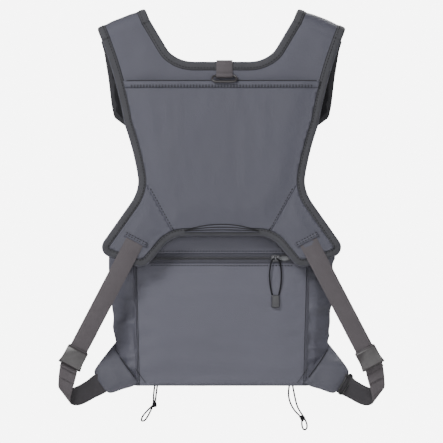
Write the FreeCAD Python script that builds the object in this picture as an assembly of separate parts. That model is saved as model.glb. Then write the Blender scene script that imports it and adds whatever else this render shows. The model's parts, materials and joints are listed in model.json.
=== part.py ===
"""Fishing vest: a padded back yoke with a stash pocket, shoulder pads and a chest pack.

Millimetres. +X is the wearer's right, +Y the wearer's front, +Z up. The origin is the
middle of the yoke's neck edge, where the hang loop goes over it.
"""
import FreeCAD
import Part
import math
import os
from FreeCAD import Vector

# Yoke outline, right half: x from the middle, z from the neck edge.
NECK_HALF = 39.0
NECK_BEND = (56.0, 3.4)
NECK_CORNER = (72.5, 14.6)
SHOULDER_INNER = (107.0, 72.5)
SHOULDER_OUTER = (170.0, 47.0)
SHOULDER_EDGE = (160.0, 13.0)
ARMHOLE_TOP = (147.0, -19.0)
ARMHOLE_MID = (132.0, -85.0)
ARMHOLE_LOW = (120.5, -122.5)
WAIST_HALF = 113.0
WAIST_Z = -160.0
WAIST_TO_FLARE = (3.0, -18.0)
FLARE_START = (124.0, -193.0)
CORNER_TOP = (159.0, -242.5)
CORNER_TIP = (163.0, -251.5)
CORNER_LOW = (154.0, -265.0)
HEM_OUTER = (120.0, -277.0)
HEM_TURN = (109.0, -279.0)
HEM_INNER = (98.0, -274.0)
ARCH_FOOT = (76.0, -248.0)
ARCH_SHOULDER = (64.0, -240.3)
ARCH_HALF = 51.0
YOKE_LENGTH = 237.3
SEAM_TOP = (100.0, -171.0)
SEAM_LOW = (68.0, -229.0)

# Layers and trim.
SHELL_THICK = 1.0
FOAM_THICK = 5.0
MESH_THICK = 1.2
BINDING_WIDTH = 11.0
BINDING_THICK = 0.6
TORSO_GAP = 20.8
BODY_GAP = 0.6
SEAT = 0.4
SEWN_GAP = 0.2

# Stash pocket on the yoke.
POCKET_TOP = -26.4
HEM_HEIGHT = 9.8
POCKET_GAP = 5.0
POCKET_FABRIC = 0.8
POCKET_SEAM = 4.0
SIDE_PANEL_THICK = 1.2
CRESCENT_RISE = 11.0

# Neck ring and its hang loop.
LOOP_CENTRE_X = 4.0
LOOP_WIDTH = 22.0
LOOP_THICK = 1.4
LOOP_TAIL = 12.0
RING_WIRE = 3.0
RING_WIDTH = 36.0
RING_HEIGHT = 13.5
RING_TILT = 35.0
RING_BAR_Z = -19.5

# Webbing and side straps.
WEBBING_WIDTH = 25.0
WEBBING_THICK = 1.6
STRAP_START = (116.5, -242.5)
STRAP_ANGLE = 27.8
STRAP_LENGTH = 170.0
STRAP_LIE = 50.0
STRAP_OVERLAP = 30.0
FOLD_TOP = (222.5, -442.0)
FOLD_LOW = (201.0, -469.0)
FOLD_RADIUS = 6.0
PACK_BEHIND_FOLD = 2.0
WING_STRAP_TOP = (172.0, -429.6)
WING_STRAP_LOW = (158.0, -452.0)
STRAP_TUCK = 14.0

# Ladder-lock adjusters.
BAR_RADIUS = 1.6
LOWER_BAR_RADIUS = 1.3
BAR_SPACING = 14.5
LOCK_LENGTH = 25.0
LOCK_PLATE = 2.0
LOCK_RAIL = 1.8
LOCK_LIP = 4.6
LIP_THICK = 1.6
LIP_SLOPE = 0.6
LIP_FLARE = 2.0
RAIL_SHORT = 4.0
RAIL_CLEARANCE = 0.7
TAIL_PAST_LOCK = 5.0
STRAP_PAST_LOCK = 3.6

# Shoulder pads, right half.
PAD_OUTER = [(161.0, 17.0), (155.0, -20.0), (150.5, -58.0)]
PAD_CORNER = [(147.0, -74.0), (132.5, -85.0)]
PAD_LOW = (103.0, -92.0)
PAD_INNER = [(94.0, -84.0), (91.0, -30.0), (92.5, 20.0)]
FRONT_STRAP_TOP = (117.0, -62.0)
FRONT_STRAP_ANGLE = -14.0
FRONT_STRAP_LENGTH = 104.0
FRONT_STRAP_LIE = 30.0

# Chest pack.
PACK_TOP = -226.0
PACK_SHOULDER_Z = -250.0
PACK_BOTTOM = -443.0
PACK_TOP_HALVES = (112.0, 142.0, 138.0)
PACK_SHOULDER_HALVES = (120.0, 155.0, 151.0)
PACK_BOTTOM_HALVES = (115.0, 141.0, 138.0)
FLARE_DEPTH = 22.0
PACK_DEPTH = 65.0
PACK_WALL = 1.6
LINING_INSET = 9.0
LINING_THICK = 0.8
WING = [(147.6, -384.0), (174.0, -422.0), (155.0, -452.0), (117.0, -441.0), (118.0, -428.0), (143.0, -396.0)]
WING_THICK = 1.5
WING_SEAM = 20.0

# Zips.
ZIP_Z = -267.9
ZIP_HALF_LENGTH = 99.0
ZIP_WIDTH = 14.3
ZIP_SLOT = 1.8
MAIN_ZIP_HALF_LENGTH = 118.0
SLIDER_LENGTH = 12.0
SLIDER_WIDTH = 9.0
SLIDER_PLATE = 2.0
SLIDER_POST = 1.0
SLIDER_GAP = 0.4
BRIDGE_HOLE = 3.0
BRIDGE_BAR = 1.5
BRIDGE_WIDTH = 3.0
BACK_SLIDER_X = 74.0
MAIN_SLIDER_X = -60.0
PULL_CORD = 2.0
PULL_WIRE = 1.8
PULL_LENGTH = 34.0
GRIP_LOW = -335.5
GRIP_WIDTH = 11.0
GRIP_THICK = 5.0
GRIP_ROUND = 2.0
PULL_FORK = 9.0
PULL_CLEARANCE = 1.0

# Front pocket with its flap.
POCKET_HALF = 98.0
FRONT_POCKET_TOP = -290.0
FRONT_POCKET_BOTTOM = -424.0
FRONT_POCKET_DEPTH = 22.0
FLAP_DROP = 48.0
FLAP_THICK = 1.6
FLAP_OVERHANG = 3.0

# Elastic draw cords under the pack: each runs out, round its loop end and back.
CORD = 2.4
CORD_RIGHT = [(93.3, 28.7, -443.0), (91.6, 28.7, -452.0), (93.6, 28.7, -465.5), (100.5, 28.7, -478.0),
              (110.8, 28.7, -487.5), (110.4, 28.9, -498.0), (112.8, 29.6, -504.3), (117.6, 30.4, -503.2),
              (118.0, 31.1, -496.0), (113.0, 31.3, -486.0), (105.6, 31.3, -475.5), (101.6, 31.3, -463.0),
              (98.0, 31.3, -443.0)]
CORD_LEFT = [(-91.8, 28.7, -443.0), (-93.8, 28.7, -455.0), (-93.2, 28.7, -468.5), (-98.6, 28.7, -480.0),
             (-105.0, 29.2, -491.5), (-110.8, 30.0, -492.3), (-109.4, 30.8, -486.0), (-101.0, 31.3, -476.5),
             (-91.2, 31.3, -467.5), (-90.3, 31.3, -456.0), (-88.4, 31.3, -443.0)]
KNOT_RIGHT = (111.6, 30.0, -488.0)
KNOT_LEFT = (-92.3, 30.0, -470.0)
KNOT_SIZE = (5.2, 4.2, 4.6)
CORD_BEND_SHARE = 0.45
PULL_LOOP = [(4.6, -50.0), (6.6, -42.0), (8.4, -27.0), (7.6, -12.0), (4.5, 0.0)]

# Places worked out from the sizes above.
YOKE_THICK = SHELL_THICK + FOAM_THICK + MESH_THICK
YOKE_BACK = -YOKE_THICK / 2
YOKE_FRONT = YOKE_THICK / 2
FRONT_NEAR = YOKE_FRONT + TORSO_GAP
FRONT_FAR = FRONT_NEAR + YOKE_THICK
FOLD_Y = (YOKE_FRONT + FRONT_NEAR) / 2
ROLL_OUTER = FOLD_Y - YOKE_BACK
ROLL_INNER = FOLD_Y - YOKE_FRONT
PACK_BACK = FOLD_Y + FOLD_RADIUS + PACK_BEHIND_FOLD
PACK_FRONT = PACK_BACK + PACK_DEPTH
STRAP_ON_YOKE_Y = YOKE_BACK - SIDE_PANEL_THICK - SEWN_GAP - WEBBING_THICK / 2
LOWER_STRAP_Y = FOLD_Y - FOLD_RADIUS
WING_STRAP_Y = FOLD_Y + FOLD_RADIUS
THREAD_Y = LOWER_BAR_RADIUS + SEAT + WEBBING_THICK / 2
BAR_Y = LOWER_STRAP_Y - THREAD_Y
LOOP_INNER = BAR_RADIUS + SEAT
LOOP_OUTER = LOOP_INNER + WEBBING_THICK
POCKET_FACE = YOKE_BACK - POCKET_GAP - POCKET_FABRIC
FAR = 400.0


def point(place, y=0.0):
    return Vector(place[0], y, place[1])


def line(a, b):
    return Part.LineSegment(point(a), point(b)).toShape()


def arc(a, middle, b):
    return Part.Arc(point(a), point(middle), point(b)).toShape()


def box(x0, x1, y0, y1, z0, z1):
    return Part.makeBox(x1 - x0, y1 - y0, z1 - z0, Vector(x0, y0, z0))


def prism(face, y0, y1):
    """A flat outline in the XZ plane given its thickness in Y."""
    solid = face.copy()
    solid.translate(Vector(0, y0, 0))
    return solid.extrude(Vector(0, y1 - y0, 0))


def polygon(places):
    return Part.Face(Part.makePolygon([point(p) for p in places + places[:1]]))


def cylinder_x(radius, x0, x1, y, z):
    return Part.makeCylinder(radius, x1 - x0, Vector(x0, y, z), Vector(1, 0, 0))


def mirrored(shape):
    return shape.mirror(Vector(0, 0, 0), Vector(1, 0, 0))


def beyond(a, b, length):
    """The point that lies a length past b on the line from a to b."""
    reach = math.hypot(b[0] - a[0], b[1] - a[1])
    return (b[0] + (b[0] - a[0]) * length / reach, b[1] + (b[1] - a[1]) * length / reach)


def yoke_face(inset):
    """The yoke's outline, drawn past both shoulder folds, with its edge moved in."""
    waist = (WAIST_HALF, WAIST_Z)
    under_waist = (WAIST_HALF + WAIST_TO_FLARE[0], WAIST_Z + WAIST_TO_FLARE[1])
    arch = (ARCH_HALF, -YOKE_LENGTH)
    neck = (NECK_HALF, 0.0)
    inner_end = beyond(NECK_CORNER, SHOULDER_INNER, 2 * ROLL_OUTER)
    outer_end = beyond(SHOULDER_EDGE, SHOULDER_OUTER, 2 * ROLL_OUTER)
    right = [
        arc(neck, NECK_BEND, NECK_CORNER),
        line(NECK_CORNER, inner_end),
        line(inner_end, outer_end),
        line(outer_end, SHOULDER_OUTER),
        arc(SHOULDER_OUTER, ARMHOLE_TOP, ARMHOLE_MID),
        arc(ARMHOLE_MID, ARMHOLE_LOW, waist),
        arc(waist, under_waist, FLARE_START),
        line(FLARE_START, CORNER_TOP),
        arc(CORNER_TOP, CORNER_TIP, CORNER_LOW),
        line(CORNER_LOW, HEM_OUTER),
        arc(HEM_OUTER, HEM_TURN, HEM_INNER),
        line(HEM_INNER, ARCH_FOOT),
        arc(ARCH_FOOT, ARCH_SHOULDER, arch),
    ]
    left = [mirrored(edge) for edge in right]
    neck_line = line((-NECK_HALF, 0.0), neck)
    arch_line = line(arch, (-arch[0], arch[1]))
    wire = Part.Wire(Part.__sortEdges__([neck_line] + right + [arch_line] + left))
    if inset:
        wire = wire.makeOffset2D(-inset)
    return Part.Face(wire)


def fold_angle():
    """The slope of the shoulder fold, in degrees below +X."""
    fall = SHOULDER_INNER[1] - SHOULDER_OUTER[1]
    return math.degrees(math.atan2(fall, SHOULDER_OUTER[0] - SHOULDER_INNER[0]))


def on_fold(shape):
    """Takes a shape drawn along X at the fold's axis to the right shoulder."""
    shape = shape.copy()
    turn = math.radians(fold_angle())
    shape.rotate(Vector(0, 0, 0), Vector(0, 1, 0), fold_angle())
    shape.translate(Vector(SHOULDER_INNER[0] - ROLL_OUTER * math.sin(turn), FOLD_Y,
                           SHOULDER_INNER[1] - ROLL_OUTER * math.cos(turn)))
    return shape


def above_fold():
    """Everything above both shoulder folds' axes, which the flat layers leave out."""
    right = on_fold(box(-FAR, FAR, -FAR, FAR, 0, FAR))
    right = right.common(box(NECK_HALF, FAR, -FAR, FAR, -FAR, FAR))
    return right.fuse(mirrored(right))


def shoulder_roll(inner, outer, near, far):
    """A quarter of the padded roll over the right shoulder, between two Y planes."""
    length = math.hypot(SHOULDER_OUTER[0] - SHOULDER_INNER[0], SHOULDER_OUTER[1] - SHOULDER_INNER[1])
    roll = cylinder_x(outer, 0, length, 0, 0).cut(cylinder_x(inner, 0, length, 0, 0))
    return on_fold(roll.common(box(0, length, near, far, 0, outer)))


def yoke_parts():
    parts = {}
    cut_off = above_fold()
    core = yoke_face(BINDING_THICK)
    inside = yoke_face(BINDING_WIDTH)
    shell_y = YOKE_BACK + SHELL_THICK
    mesh_y = YOKE_FRONT - MESH_THICK
    parts["yoke_shell"] = prism(core, YOKE_BACK, shell_y).cut(cut_off)
    parts["yoke_foam"] = prism(core, shell_y, mesh_y).cut(cut_off)
    parts["yoke_mesh_lining"] = prism(core, mesh_y, YOKE_FRONT).cut(cut_off)

    outside_y = YOKE_BACK - BINDING_THICK
    inside_y = YOKE_FRONT + BINDING_THICK
    edge = prism(yoke_face(0), outside_y, inside_y).cut(prism(inside, -FAR, FAR))
    edge = edge.cut(prism(core, YOKE_BACK, YOKE_FRONT)).cut(cut_off)
    pieces = sorted(edge.Solids, key=lambda solid: solid.BoundBox.ZMin)
    parts["yoke_edge_binding"] = pieces[0]
    parts["neck_binding"] = Part.makeCompound(pieces[1:])

    seam_down = beyond(SEAM_TOP, SEAM_LOW, FAR)
    seam_up = beyond(SEAM_LOW, SEAM_TOP, FAR)
    corner = polygon([seam_up, seam_down, (FAR, -FAR), (2 * FAR, 0.0)])
    side = prism(inside, YOKE_BACK - SIDE_PANEL_THICK, YOKE_BACK)
    side = side.common(prism(corner, -FAR, FAR)).common(box(0, FAR, -FAR, FAR, -FAR, WAIST_Z))
    parts["yoke_side_panel_right"] = side
    parts["yoke_side_panel_left"] = mirrored(side)

    middle = prism(inside, POCKET_FACE, YOKE_BACK).cut(box(-FAR, FAR, -FAR, FAR, POCKET_TOP, FAR))
    hollow = prism(yoke_face(BINDING_WIDTH + POCKET_SEAM), POCKET_FACE + POCKET_FABRIC, YOKE_BACK)
    shift = POCKET_SEAM / math.cos(math.atan2(SEAM_TOP[0] - SEAM_LOW[0], SEAM_TOP[1] - SEAM_LOW[1]))
    corner_cut = prism(corner, -FAR, FAR).common(box(0, FAR, -FAR, FAR, -FAR, WAIST_Z))
    wider_cut = corner_cut.copy()
    wider_cut.translate(Vector(-abs(shift), 0, 0))
    for cutter in (corner_cut, mirrored(corner_cut)):
        middle = middle.cut(cutter)
    for cutter in (wider_cut, mirrored(wider_cut)):
        hollow = hollow.cut(cutter)
    parts["stash_pocket_panel"] = middle.cut(hollow)
    hem = prism(inside, POCKET_FACE - POCKET_FABRIC, POCKET_FACE)
    parts["stash_pocket_hem"] = hem.common(box(-FAR, FAR, -FAR, FAR, POCKET_TOP - HEM_HEIGHT, POCKET_TOP))

    foot = -YOKE_LENGTH + BINDING_WIDTH / 2
    half = ARCH_HALF
    bow = Part.Wire([arc((-half, foot), (0.0, foot + CRESCENT_RISE), (half, foot)),
                     line((half, foot), (-half, foot))])
    parts["hem_crescent"] = prism(Part.Face(bow), POCKET_FACE - POCKET_FABRIC, POCKET_FACE)

    roll = shoulder_roll(ROLL_INNER, ROLL_OUTER, -ROLL_OUTER, -BODY_GAP / 2)
    parts["shoulder_roll_right"] = roll
    parts["shoulder_roll_left"] = mirrored(roll)
    return parts


def neck_parts():
    """The hang loop over the neck edge, and the ring whose top bar it holds."""
    face_y = YOKE_BACK - BINDING_THICK - SEAT
    back_y = YOKE_FRONT + BINDING_THICK + SEAT
    x0 = LOOP_CENTRE_X - LOOP_WIDTH / 2
    x1 = LOOP_CENTRE_X + LOOP_WIDTH / 2
    top = SEAT + LOOP_THICK
    loop_inner = RING_WIRE / 2 + SEAT
    loop_outer = loop_inner + LOOP_THICK
    bar_y = face_y - loop_outer
    loop = cylinder_x(loop_outer, x0, x1, bar_y, RING_BAR_Z)
    loop = loop.fuse(box(x0, x1, face_y - LOOP_THICK, face_y, RING_BAR_Z, top))
    loop = loop.cut(cylinder_x(loop_inner, x0, x1, bar_y, RING_BAR_Z))
    loop = loop.fuse(box(x0, x1, face_y - LOOP_THICK, back_y + LOOP_THICK, SEAT, top))
    loop = loop.fuse(box(x0, x1, back_y, back_y + LOOP_THICK, -LOOP_TAIL, top))

    width = RING_WIDTH - RING_WIRE
    height = RING_HEIGHT - RING_WIRE
    bend = height / 2
    left = -width / 2 + bend
    right = width / 2 - bend
    track = Part.Wire([
        Part.LineSegment(Vector(left, 0, 0), Vector(right, 0, 0)).toShape(),
        Part.Arc(Vector(right, 0, 0), Vector(right + bend, 0, -bend), Vector(right, 0, -height)).toShape(),
        Part.LineSegment(Vector(right, 0, -height), Vector(left, 0, -height)).toShape(),
        Part.Arc(Vector(left, 0, -height), Vector(left - bend, 0, -bend), Vector(left, 0, 0)).toShape(),
    ])
    section = Part.Wire(Part.makeCircle(RING_WIRE / 2, Vector(left, 0, 0), Vector(1, 0, 0)))
    ring = track.makePipeShell([section], True, True)
    ring.rotate(Vector(0, 0, 0), Vector(1, 0, 0), -RING_TILT)
    ring.translate(Vector(LOOP_CENTRE_X, bar_y, RING_BAR_Z))
    return {"hang_loop": loop.removeSplitter(), "neck_ring": ring}


def webbing_strip(track, width=WEBBING_WIDTH):
    """Webbing whose side view is a track of (y, z) points, given its thickness and width."""
    edges = [Part.LineSegment(Vector(-width / 2, *a), Vector(-width / 2, *b)).toShape()
             for a, b in zip(track, track[1:])]
    face = Part.Wire(edges).makeOffset2D(WEBBING_THICK / 2, 0, True, True, False)
    other = Part.Wire(edges).makeOffset2D(-WEBBING_THICK / 2, 0, True, True, False)
    return face.fuse(other).removeSplitter().extrude(Vector(width, 0, 0))


def sewn_strap(length, lie, start_y):
    """A strap hanging down -Z with its sewn end loop round a bar at (0, -length)."""
    half = WEBBING_WIDTH / 2
    meet = LOOP_OUTER
    strap = webbing_strip([(start_y, 0.0), (start_y, -lie), (0.0, meet - length)])
    doubled = box(-half, half, 0, WEBBING_THICK, meet - length, meet - length + STRAP_OVERLAP)
    slope = math.degrees(math.atan2(start_y, length - lie - meet))
    doubled.rotate(Vector(0, 0, meet - length), Vector(1, 0, 0), slope)
    neck = box(-half, half, -WEBBING_THICK / 2, WEBBING_THICK, LOOP_INNER - length, meet - length)
    loop = cylinder_x(LOOP_OUTER, -half, half, 0, -length)
    strap = strap.fuse(doubled).fuse(neck).fuse(loop)
    return strap.cut(cylinder_x(LOOP_INNER, -half, half, 0, -length)).removeSplitter()


def ladder_lock():
    """The adjuster, with its top bar on the X axis, its smooth plate facing -Y."""
    inner = WEBBING_WIDTH / 2 + RAIL_CLEARANCE
    outer = inner + LOCK_RAIL
    plate_y = -(LOOP_OUTER + SEAT)
    plate = box(-outer, outer, plate_y - LOCK_PLATE, plate_y, -LOCK_LENGTH, -0.5)
    lip_out = plate_y - LOCK_PLATE - LOCK_LIP * LIP_SLOPE
    root = LIP_THICK - 0.1
    lip = polygon([(plate_y, root), (plate_y - LOCK_PLATE, root), (lip_out, -LOCK_LIP),
                   (lip_out + LIP_THICK, -LOCK_LIP - LIP_SLOPE)])
    lip = lip.extrude(Vector(0, 2 * (outer + LIP_FLARE), 0))
    lip.rotate(Vector(0, 0, 0), Vector(0, 0, 1), 90)
    lip.translate(Vector(outer + LIP_FLARE, 0, -LOCK_LENGTH + 1.0))
    lock = plate.fuse(lip)
    for side in (-1, 1):
        x0 = min(side * inner, side * outer)
        lock = lock.fuse(box(x0, x0 + LOCK_RAIL, plate_y, BAR_RADIUS, -LOCK_LENGTH + RAIL_SHORT, BAR_RADIUS))
    lock = lock.fuse(cylinder_x(BAR_RADIUS, -inner, inner, 0, 0))
    lock = lock.fuse(cylinder_x(LOWER_BAR_RADIUS, -inner, inner, 0, -BAR_SPACING))
    return lock.removeSplitter()


def threaded_webbing():
    """The adjustable webbing inside the lock: up behind the lower bar and down in front."""
    half = WEBBING_WIDTH / 2
    near = THREAD_Y - WEBBING_THICK / 2
    far = THREAD_Y + WEBBING_THICK / 2
    turn = cylinder_x(far, -half, half, 0, -BAR_SPACING).cut(cylinder_x(near, -half, half, 0, -BAR_SPACING))
    turn = turn.common(box(-half, half, -far, far, -BAR_SPACING, 0))
    back = box(-half, half, near, far, -LOCK_LENGTH - STRAP_PAST_LOCK, -BAR_SPACING)
    tail = box(-half, half, -far, -near, -LOCK_LENGTH - TAIL_PAST_LOCK, -BAR_SPACING)
    return turn.fuse(back).fuse(tail).removeSplitter()


def along_side_strap(shape, drop=0.0):
    """Takes a shape hanging down -Z to the right side strap's line."""
    shape = shape.copy()
    shape.translate(Vector(0, 0, -drop))
    shape.rotate(Vector(0, 0, 0), Vector(0, 1, 0), -STRAP_ANGLE)
    shape.translate(Vector(STRAP_START[0], BAR_Y, STRAP_START[1]))
    return shape


def along_front_strap(shape, drop=0.0):
    """Takes a shape hanging down -Z to the right front strap's line, facing the front."""
    shape = shape.copy()
    shape.rotate(Vector(0, 0, 0), Vector(0, 0, 1), 180)
    shape.translate(Vector(0, 0, -drop))
    shape.rotate(Vector(0, 0, 0), Vector(0, 1, 0), -FRONT_STRAP_ANGLE)
    shape.translate(Vector(FRONT_STRAP_TOP[0], front_bar_y(), FRONT_STRAP_TOP[1]))
    return shape


def front_bar_y():
    return FRONT_FAR + BINDING_THICK + SEWN_GAP + WEBBING_THICK / 2


def strap_place(across, down):
    """A point beside the right side strap: across its width and down its line."""
    turn = math.radians(STRAP_ANGLE)
    x = STRAP_START[0] + down * math.sin(turn) + across * math.cos(turn)
    return (x, STRAP_START[1] - down * math.cos(turn) + across * math.sin(turn))


def fold_axis():
    """The bottom fold's axis ends, in the XZ plane."""
    dx = FOLD_LOW[0] - FOLD_TOP[0]
    dz = FOLD_LOW[1] - FOLD_TOP[1]
    reach = math.hypot(dx, dz)
    out = (-dz / reach, dx / reach)
    back = FOLD_RADIUS + WEBBING_THICK / 2
    top = (FOLD_TOP[0] - out[0] * back, FOLD_TOP[1] - out[1] * back)
    low = (FOLD_LOW[0] - out[0] * back, FOLD_LOW[1] - out[1] * back)
    return top, low


def fold_quarter(near, far):
    """The part of the strap's bottom fold between two Y planes."""
    top, low = fold_axis()
    length = math.hypot(low[0] - top[0], low[1] - top[1])
    outer = FOLD_RADIUS + WEBBING_THICK / 2
    inner = FOLD_RADIUS - WEBBING_THICK / 2
    ring = cylinder_x(outer, 0, length, 0, 0).cut(cylinder_x(inner, 0, length, 0, 0))
    ring = ring.common(box(0, length, near - FOLD_Y, far - FOLD_Y, -outer, 0))
    slope = math.degrees(math.atan2(top[1] - low[1], top[0] - low[0]))
    ring.rotate(Vector(0, 0, 0), Vector(0, 1, 0), -slope)
    ring.translate(Vector(low[0], FOLD_Y, low[1]))
    return ring


def strap_parts():
    parts = {}
    half = WEBBING_WIDTH / 2
    upper = sewn_strap(STRAP_LENGTH, STRAP_LIE, STRAP_ON_YOKE_Y - BAR_Y)
    right = {
        "upper_strap": along_side_strap(upper),
        "side_adjuster": along_side_strap(ladder_lock(), STRAP_LENGTH),
        "threaded_webbing": along_side_strap(threaded_webbing(), STRAP_LENGTH),
    }
    top, low = fold_axis()
    start = STRAP_LENGTH + LOCK_LENGTH + STRAP_PAST_LOCK + BODY_GAP
    quad = polygon([strap_place(half, start), top, low, strap_place(-half, start)])
    thick = WEBBING_THICK / 2
    lower = prism(quad, LOWER_STRAP_Y - thick, LOWER_STRAP_Y + thick)
    lower = lower.fuse(fold_quarter(LOWER_STRAP_Y - thick, FOLD_Y - BODY_GAP / 2))
    right["lower_strap"] = lower.removeSplitter()
    tucked_low = beyond(low, WING_STRAP_LOW, STRAP_TUCK)
    tucked_top = beyond(top, WING_STRAP_TOP, STRAP_TUCK)
    quad = polygon([top, low, tucked_low, tucked_top])
    wing_strap = prism(quad, WING_STRAP_Y - thick, WING_STRAP_Y + thick)
    wing_strap = wing_strap.fuse(fold_quarter(FOLD_Y + BODY_GAP / 2, WING_STRAP_Y + thick))
    right["wing_strap"] = wing_strap.removeSplitter()
    for name, shape in right.items():
        parts[name + "_right"] = shape
        parts[name + "_left"] = mirrored(shape)
    return parts


def pad_face(inset):
    """The right shoulder pad's outline, drawn past the fold, with its edge moved in."""
    outer_end = beyond(PAD_OUTER[0], SHOULDER_OUTER, 2 * ROLL_OUTER)
    inner_end = beyond(PAD_INNER[-1], SHOULDER_INNER, 2 * ROLL_OUTER)
    places = [inner_end, outer_end, SHOULDER_OUTER] + PAD_OUTER + PAD_CORNER + [PAD_LOW] + PAD_INNER
    places.append(SHOULDER_INNER)
    wire = Part.makePolygon([point(p) for p in places + places[:1]])
    if inset:
        wire = wire.makeOffset2D(-inset, 2)
    return Part.Face(wire)


def pad_parts():
    cut_off = on_fold(box(-FAR, FAR, -FAR, FAR, 0, FAR))
    core = pad_face(BINDING_THICK)
    inside = pad_face(BINDING_WIDTH)
    mesh_y = FRONT_FAR - SHELL_THICK
    mesh = prism(core, FRONT_NEAR, mesh_y).cut(cut_off)
    shell = prism(core, mesh_y, FRONT_FAR).cut(cut_off)
    edge = prism(pad_face(0), FRONT_NEAR - BINDING_THICK, FRONT_FAR + BINDING_THICK)
    edge = edge.cut(prism(inside, -FAR, FAR)).cut(prism(core, FRONT_NEAR, FRONT_FAR)).cut(cut_off)
    shell_roll = shoulder_roll(ROLL_OUTER - SHELL_THICK, ROLL_OUTER, BODY_GAP / 2, ROLL_OUTER)
    mesh_roll = shoulder_roll(ROLL_INNER, ROLL_OUTER - SHELL_THICK, BODY_GAP / 2, ROLL_OUTER)
    right = {
        "pad_mesh": mesh.fuse(mesh_roll).removeSplitter(),
        "pad_shell": shell.fuse(shell_roll).removeSplitter(),
        "pad_binding": edge,
    }
    strap = sewn_strap(FRONT_STRAP_LENGTH, FRONT_STRAP_LIE, 0.0)
    right["front_webbing"] = along_front_strap(strap)
    right["front_adjuster"] = along_front_strap(ladder_lock(), FRONT_STRAP_LENGTH)
    right["front_threaded_webbing"] = along_front_strap(threaded_webbing(), FRONT_STRAP_LENGTH)

    start = FRONT_STRAP_LENGTH + LOCK_LENGTH + STRAP_PAST_LOCK + BODY_GAP
    turn = math.radians(FRONT_STRAP_ANGLE)
    end = (FRONT_STRAP_TOP[1] - PACK_TOP) / math.cos(turn) + WEBBING_WIDTH
    half = WEBBING_WIDTH / 2
    far = THREAD_Y + WEBBING_THICK / 2
    near = THREAD_Y - WEBBING_THICK / 2
    anchor = along_front_strap(box(-half, half, near, far, -end, -start))
    right["pack_strap"] = anchor.cut(box(-FAR, FAR, -FAR, FAR, -FAR, PACK_TOP))
    parts = {}
    for name, shape in right.items():
        parts[name + "_right"] = shape
        parts[name + "_left"] = mirrored(shape)
    return parts


def pack_section(z, halves, wall):
    """The pack's cross-section at one height, as a closed wire."""
    places = list(zip(halves, (PACK_BACK, PACK_BACK + FLARE_DEPTH, PACK_FRONT)))
    ring = places + [(-x, y) for x, y in reversed(places)]
    wire = Part.makePolygon([Vector(x, y, z) for x, y in ring + ring[:1]])
    if wall:
        wire = wire.makeOffset2D(-wall, 2)
    return wire


def pack_solid(wall):
    top = pack_section(PACK_TOP, PACK_TOP_HALVES, wall)
    shoulder = pack_section(PACK_SHOULDER_Z, PACK_SHOULDER_HALVES, wall)
    low = pack_section(PACK_BOTTOM, PACK_BOTTOM_HALVES, wall)
    return Part.makeLoft([top, shoulder, low], True, True)


def zip_tapes(half_length, depth):
    """Two zip tapes along X with their slot between them, centred, facing -Y."""
    half = ZIP_WIDTH / 2
    upper = box(-half_length, half_length, 0, depth, ZIP_SLOT / 2, half)
    lower = box(-half_length, half_length, 0, depth, -half, -ZIP_SLOT / 2)
    return upper, lower


def pack_parts():
    parts = {}
    walls = pack_solid(0).cut(pack_solid(PACK_WALL).common(
        box(-FAR, FAR, -FAR, FAR, PACK_BOTTOM + PACK_WALL, PACK_TOP - PACK_WALL)))
    back_cut = box(-FAR, FAR, -FAR, PACK_BACK + PACK_WALL, -2 * FAR, FAR)
    front_cut = box(-FAR, FAR, PACK_FRONT - PACK_WALL, FAR, -2 * FAR, FAR)
    top_cut = box(-FAR, FAR, -FAR, FAR, PACK_TOP - PACK_WALL, FAR)
    bottom_cut = box(-FAR, FAR, -FAR, FAR, -2 * FAR, PACK_BOTTOM + PACK_WALL)
    back = walls.common(back_cut)
    rest = walls.cut(back_cut)
    front = rest.common(front_cut)
    rest = rest.cut(front_cut)
    top = rest.common(top_cut)
    rest = rest.cut(top_cut)
    parts["pack_bottom"] = rest.common(bottom_cut)
    sides = sorted(rest.cut(bottom_cut).Solids, key=lambda solid: solid.CenterOfMass.x)
    parts["pack_gusset_left"] = sides[0]
    parts["pack_gusset_right"] = sides[-1]
    parts["pack_front_panel"] = front

    half = ZIP_WIDTH / 2
    parts["pack_back_panel"] = back.cut(
        box(-ZIP_HALF_LENGTH, ZIP_HALF_LENGTH, -FAR, FAR, ZIP_Z - half, ZIP_Z + half))
    tapes = Part.makeCompound(zip_tapes(ZIP_HALF_LENGTH, PACK_WALL))
    tapes.translate(Vector(0, PACK_BACK, ZIP_Z))
    parts["back_zip_tape"] = tapes
    middle = (PACK_BACK + PACK_FRONT) / 2
    length = MAIN_ZIP_HALF_LENGTH
    parts["pack_top"] = top.cut(box(-length, length, middle - half, middle + half, -2 * FAR, FAR))
    tapes = Part.makeCompound(zip_tapes(length, PACK_WALL))
    tapes.rotate(Vector(0, 0, 0), Vector(1, 0, 0), -90)
    tapes.translate(Vector(0, middle, PACK_TOP))
    parts["main_zip_tape"] = tapes

    lining_y = PACK_BACK + LINING_INSET
    lining = pack_solid(PACK_WALL).common(
        box(-FAR, FAR, lining_y, lining_y + LINING_THICK, PACK_BOTTOM + PACK_WALL, PACK_TOP - PACK_WALL))
    parts["pack_back_lining"] = lining

    near = WING_STRAP_Y - WEBBING_THICK / 2 - SEAT
    wing = prism(polygon(WING), near - WING_THICK, near)
    sewn = prism(polygon(WING), near, PACK_BACK).common(
        box(0, WING[3][0] + WING_SEAM, -FAR, FAR, -2 * FAR, FAR))
    wing = wing.fuse(sewn).removeSplitter()
    parts["wing_right"] = wing
    parts["wing_left"] = mirrored(wing)
    return parts


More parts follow.
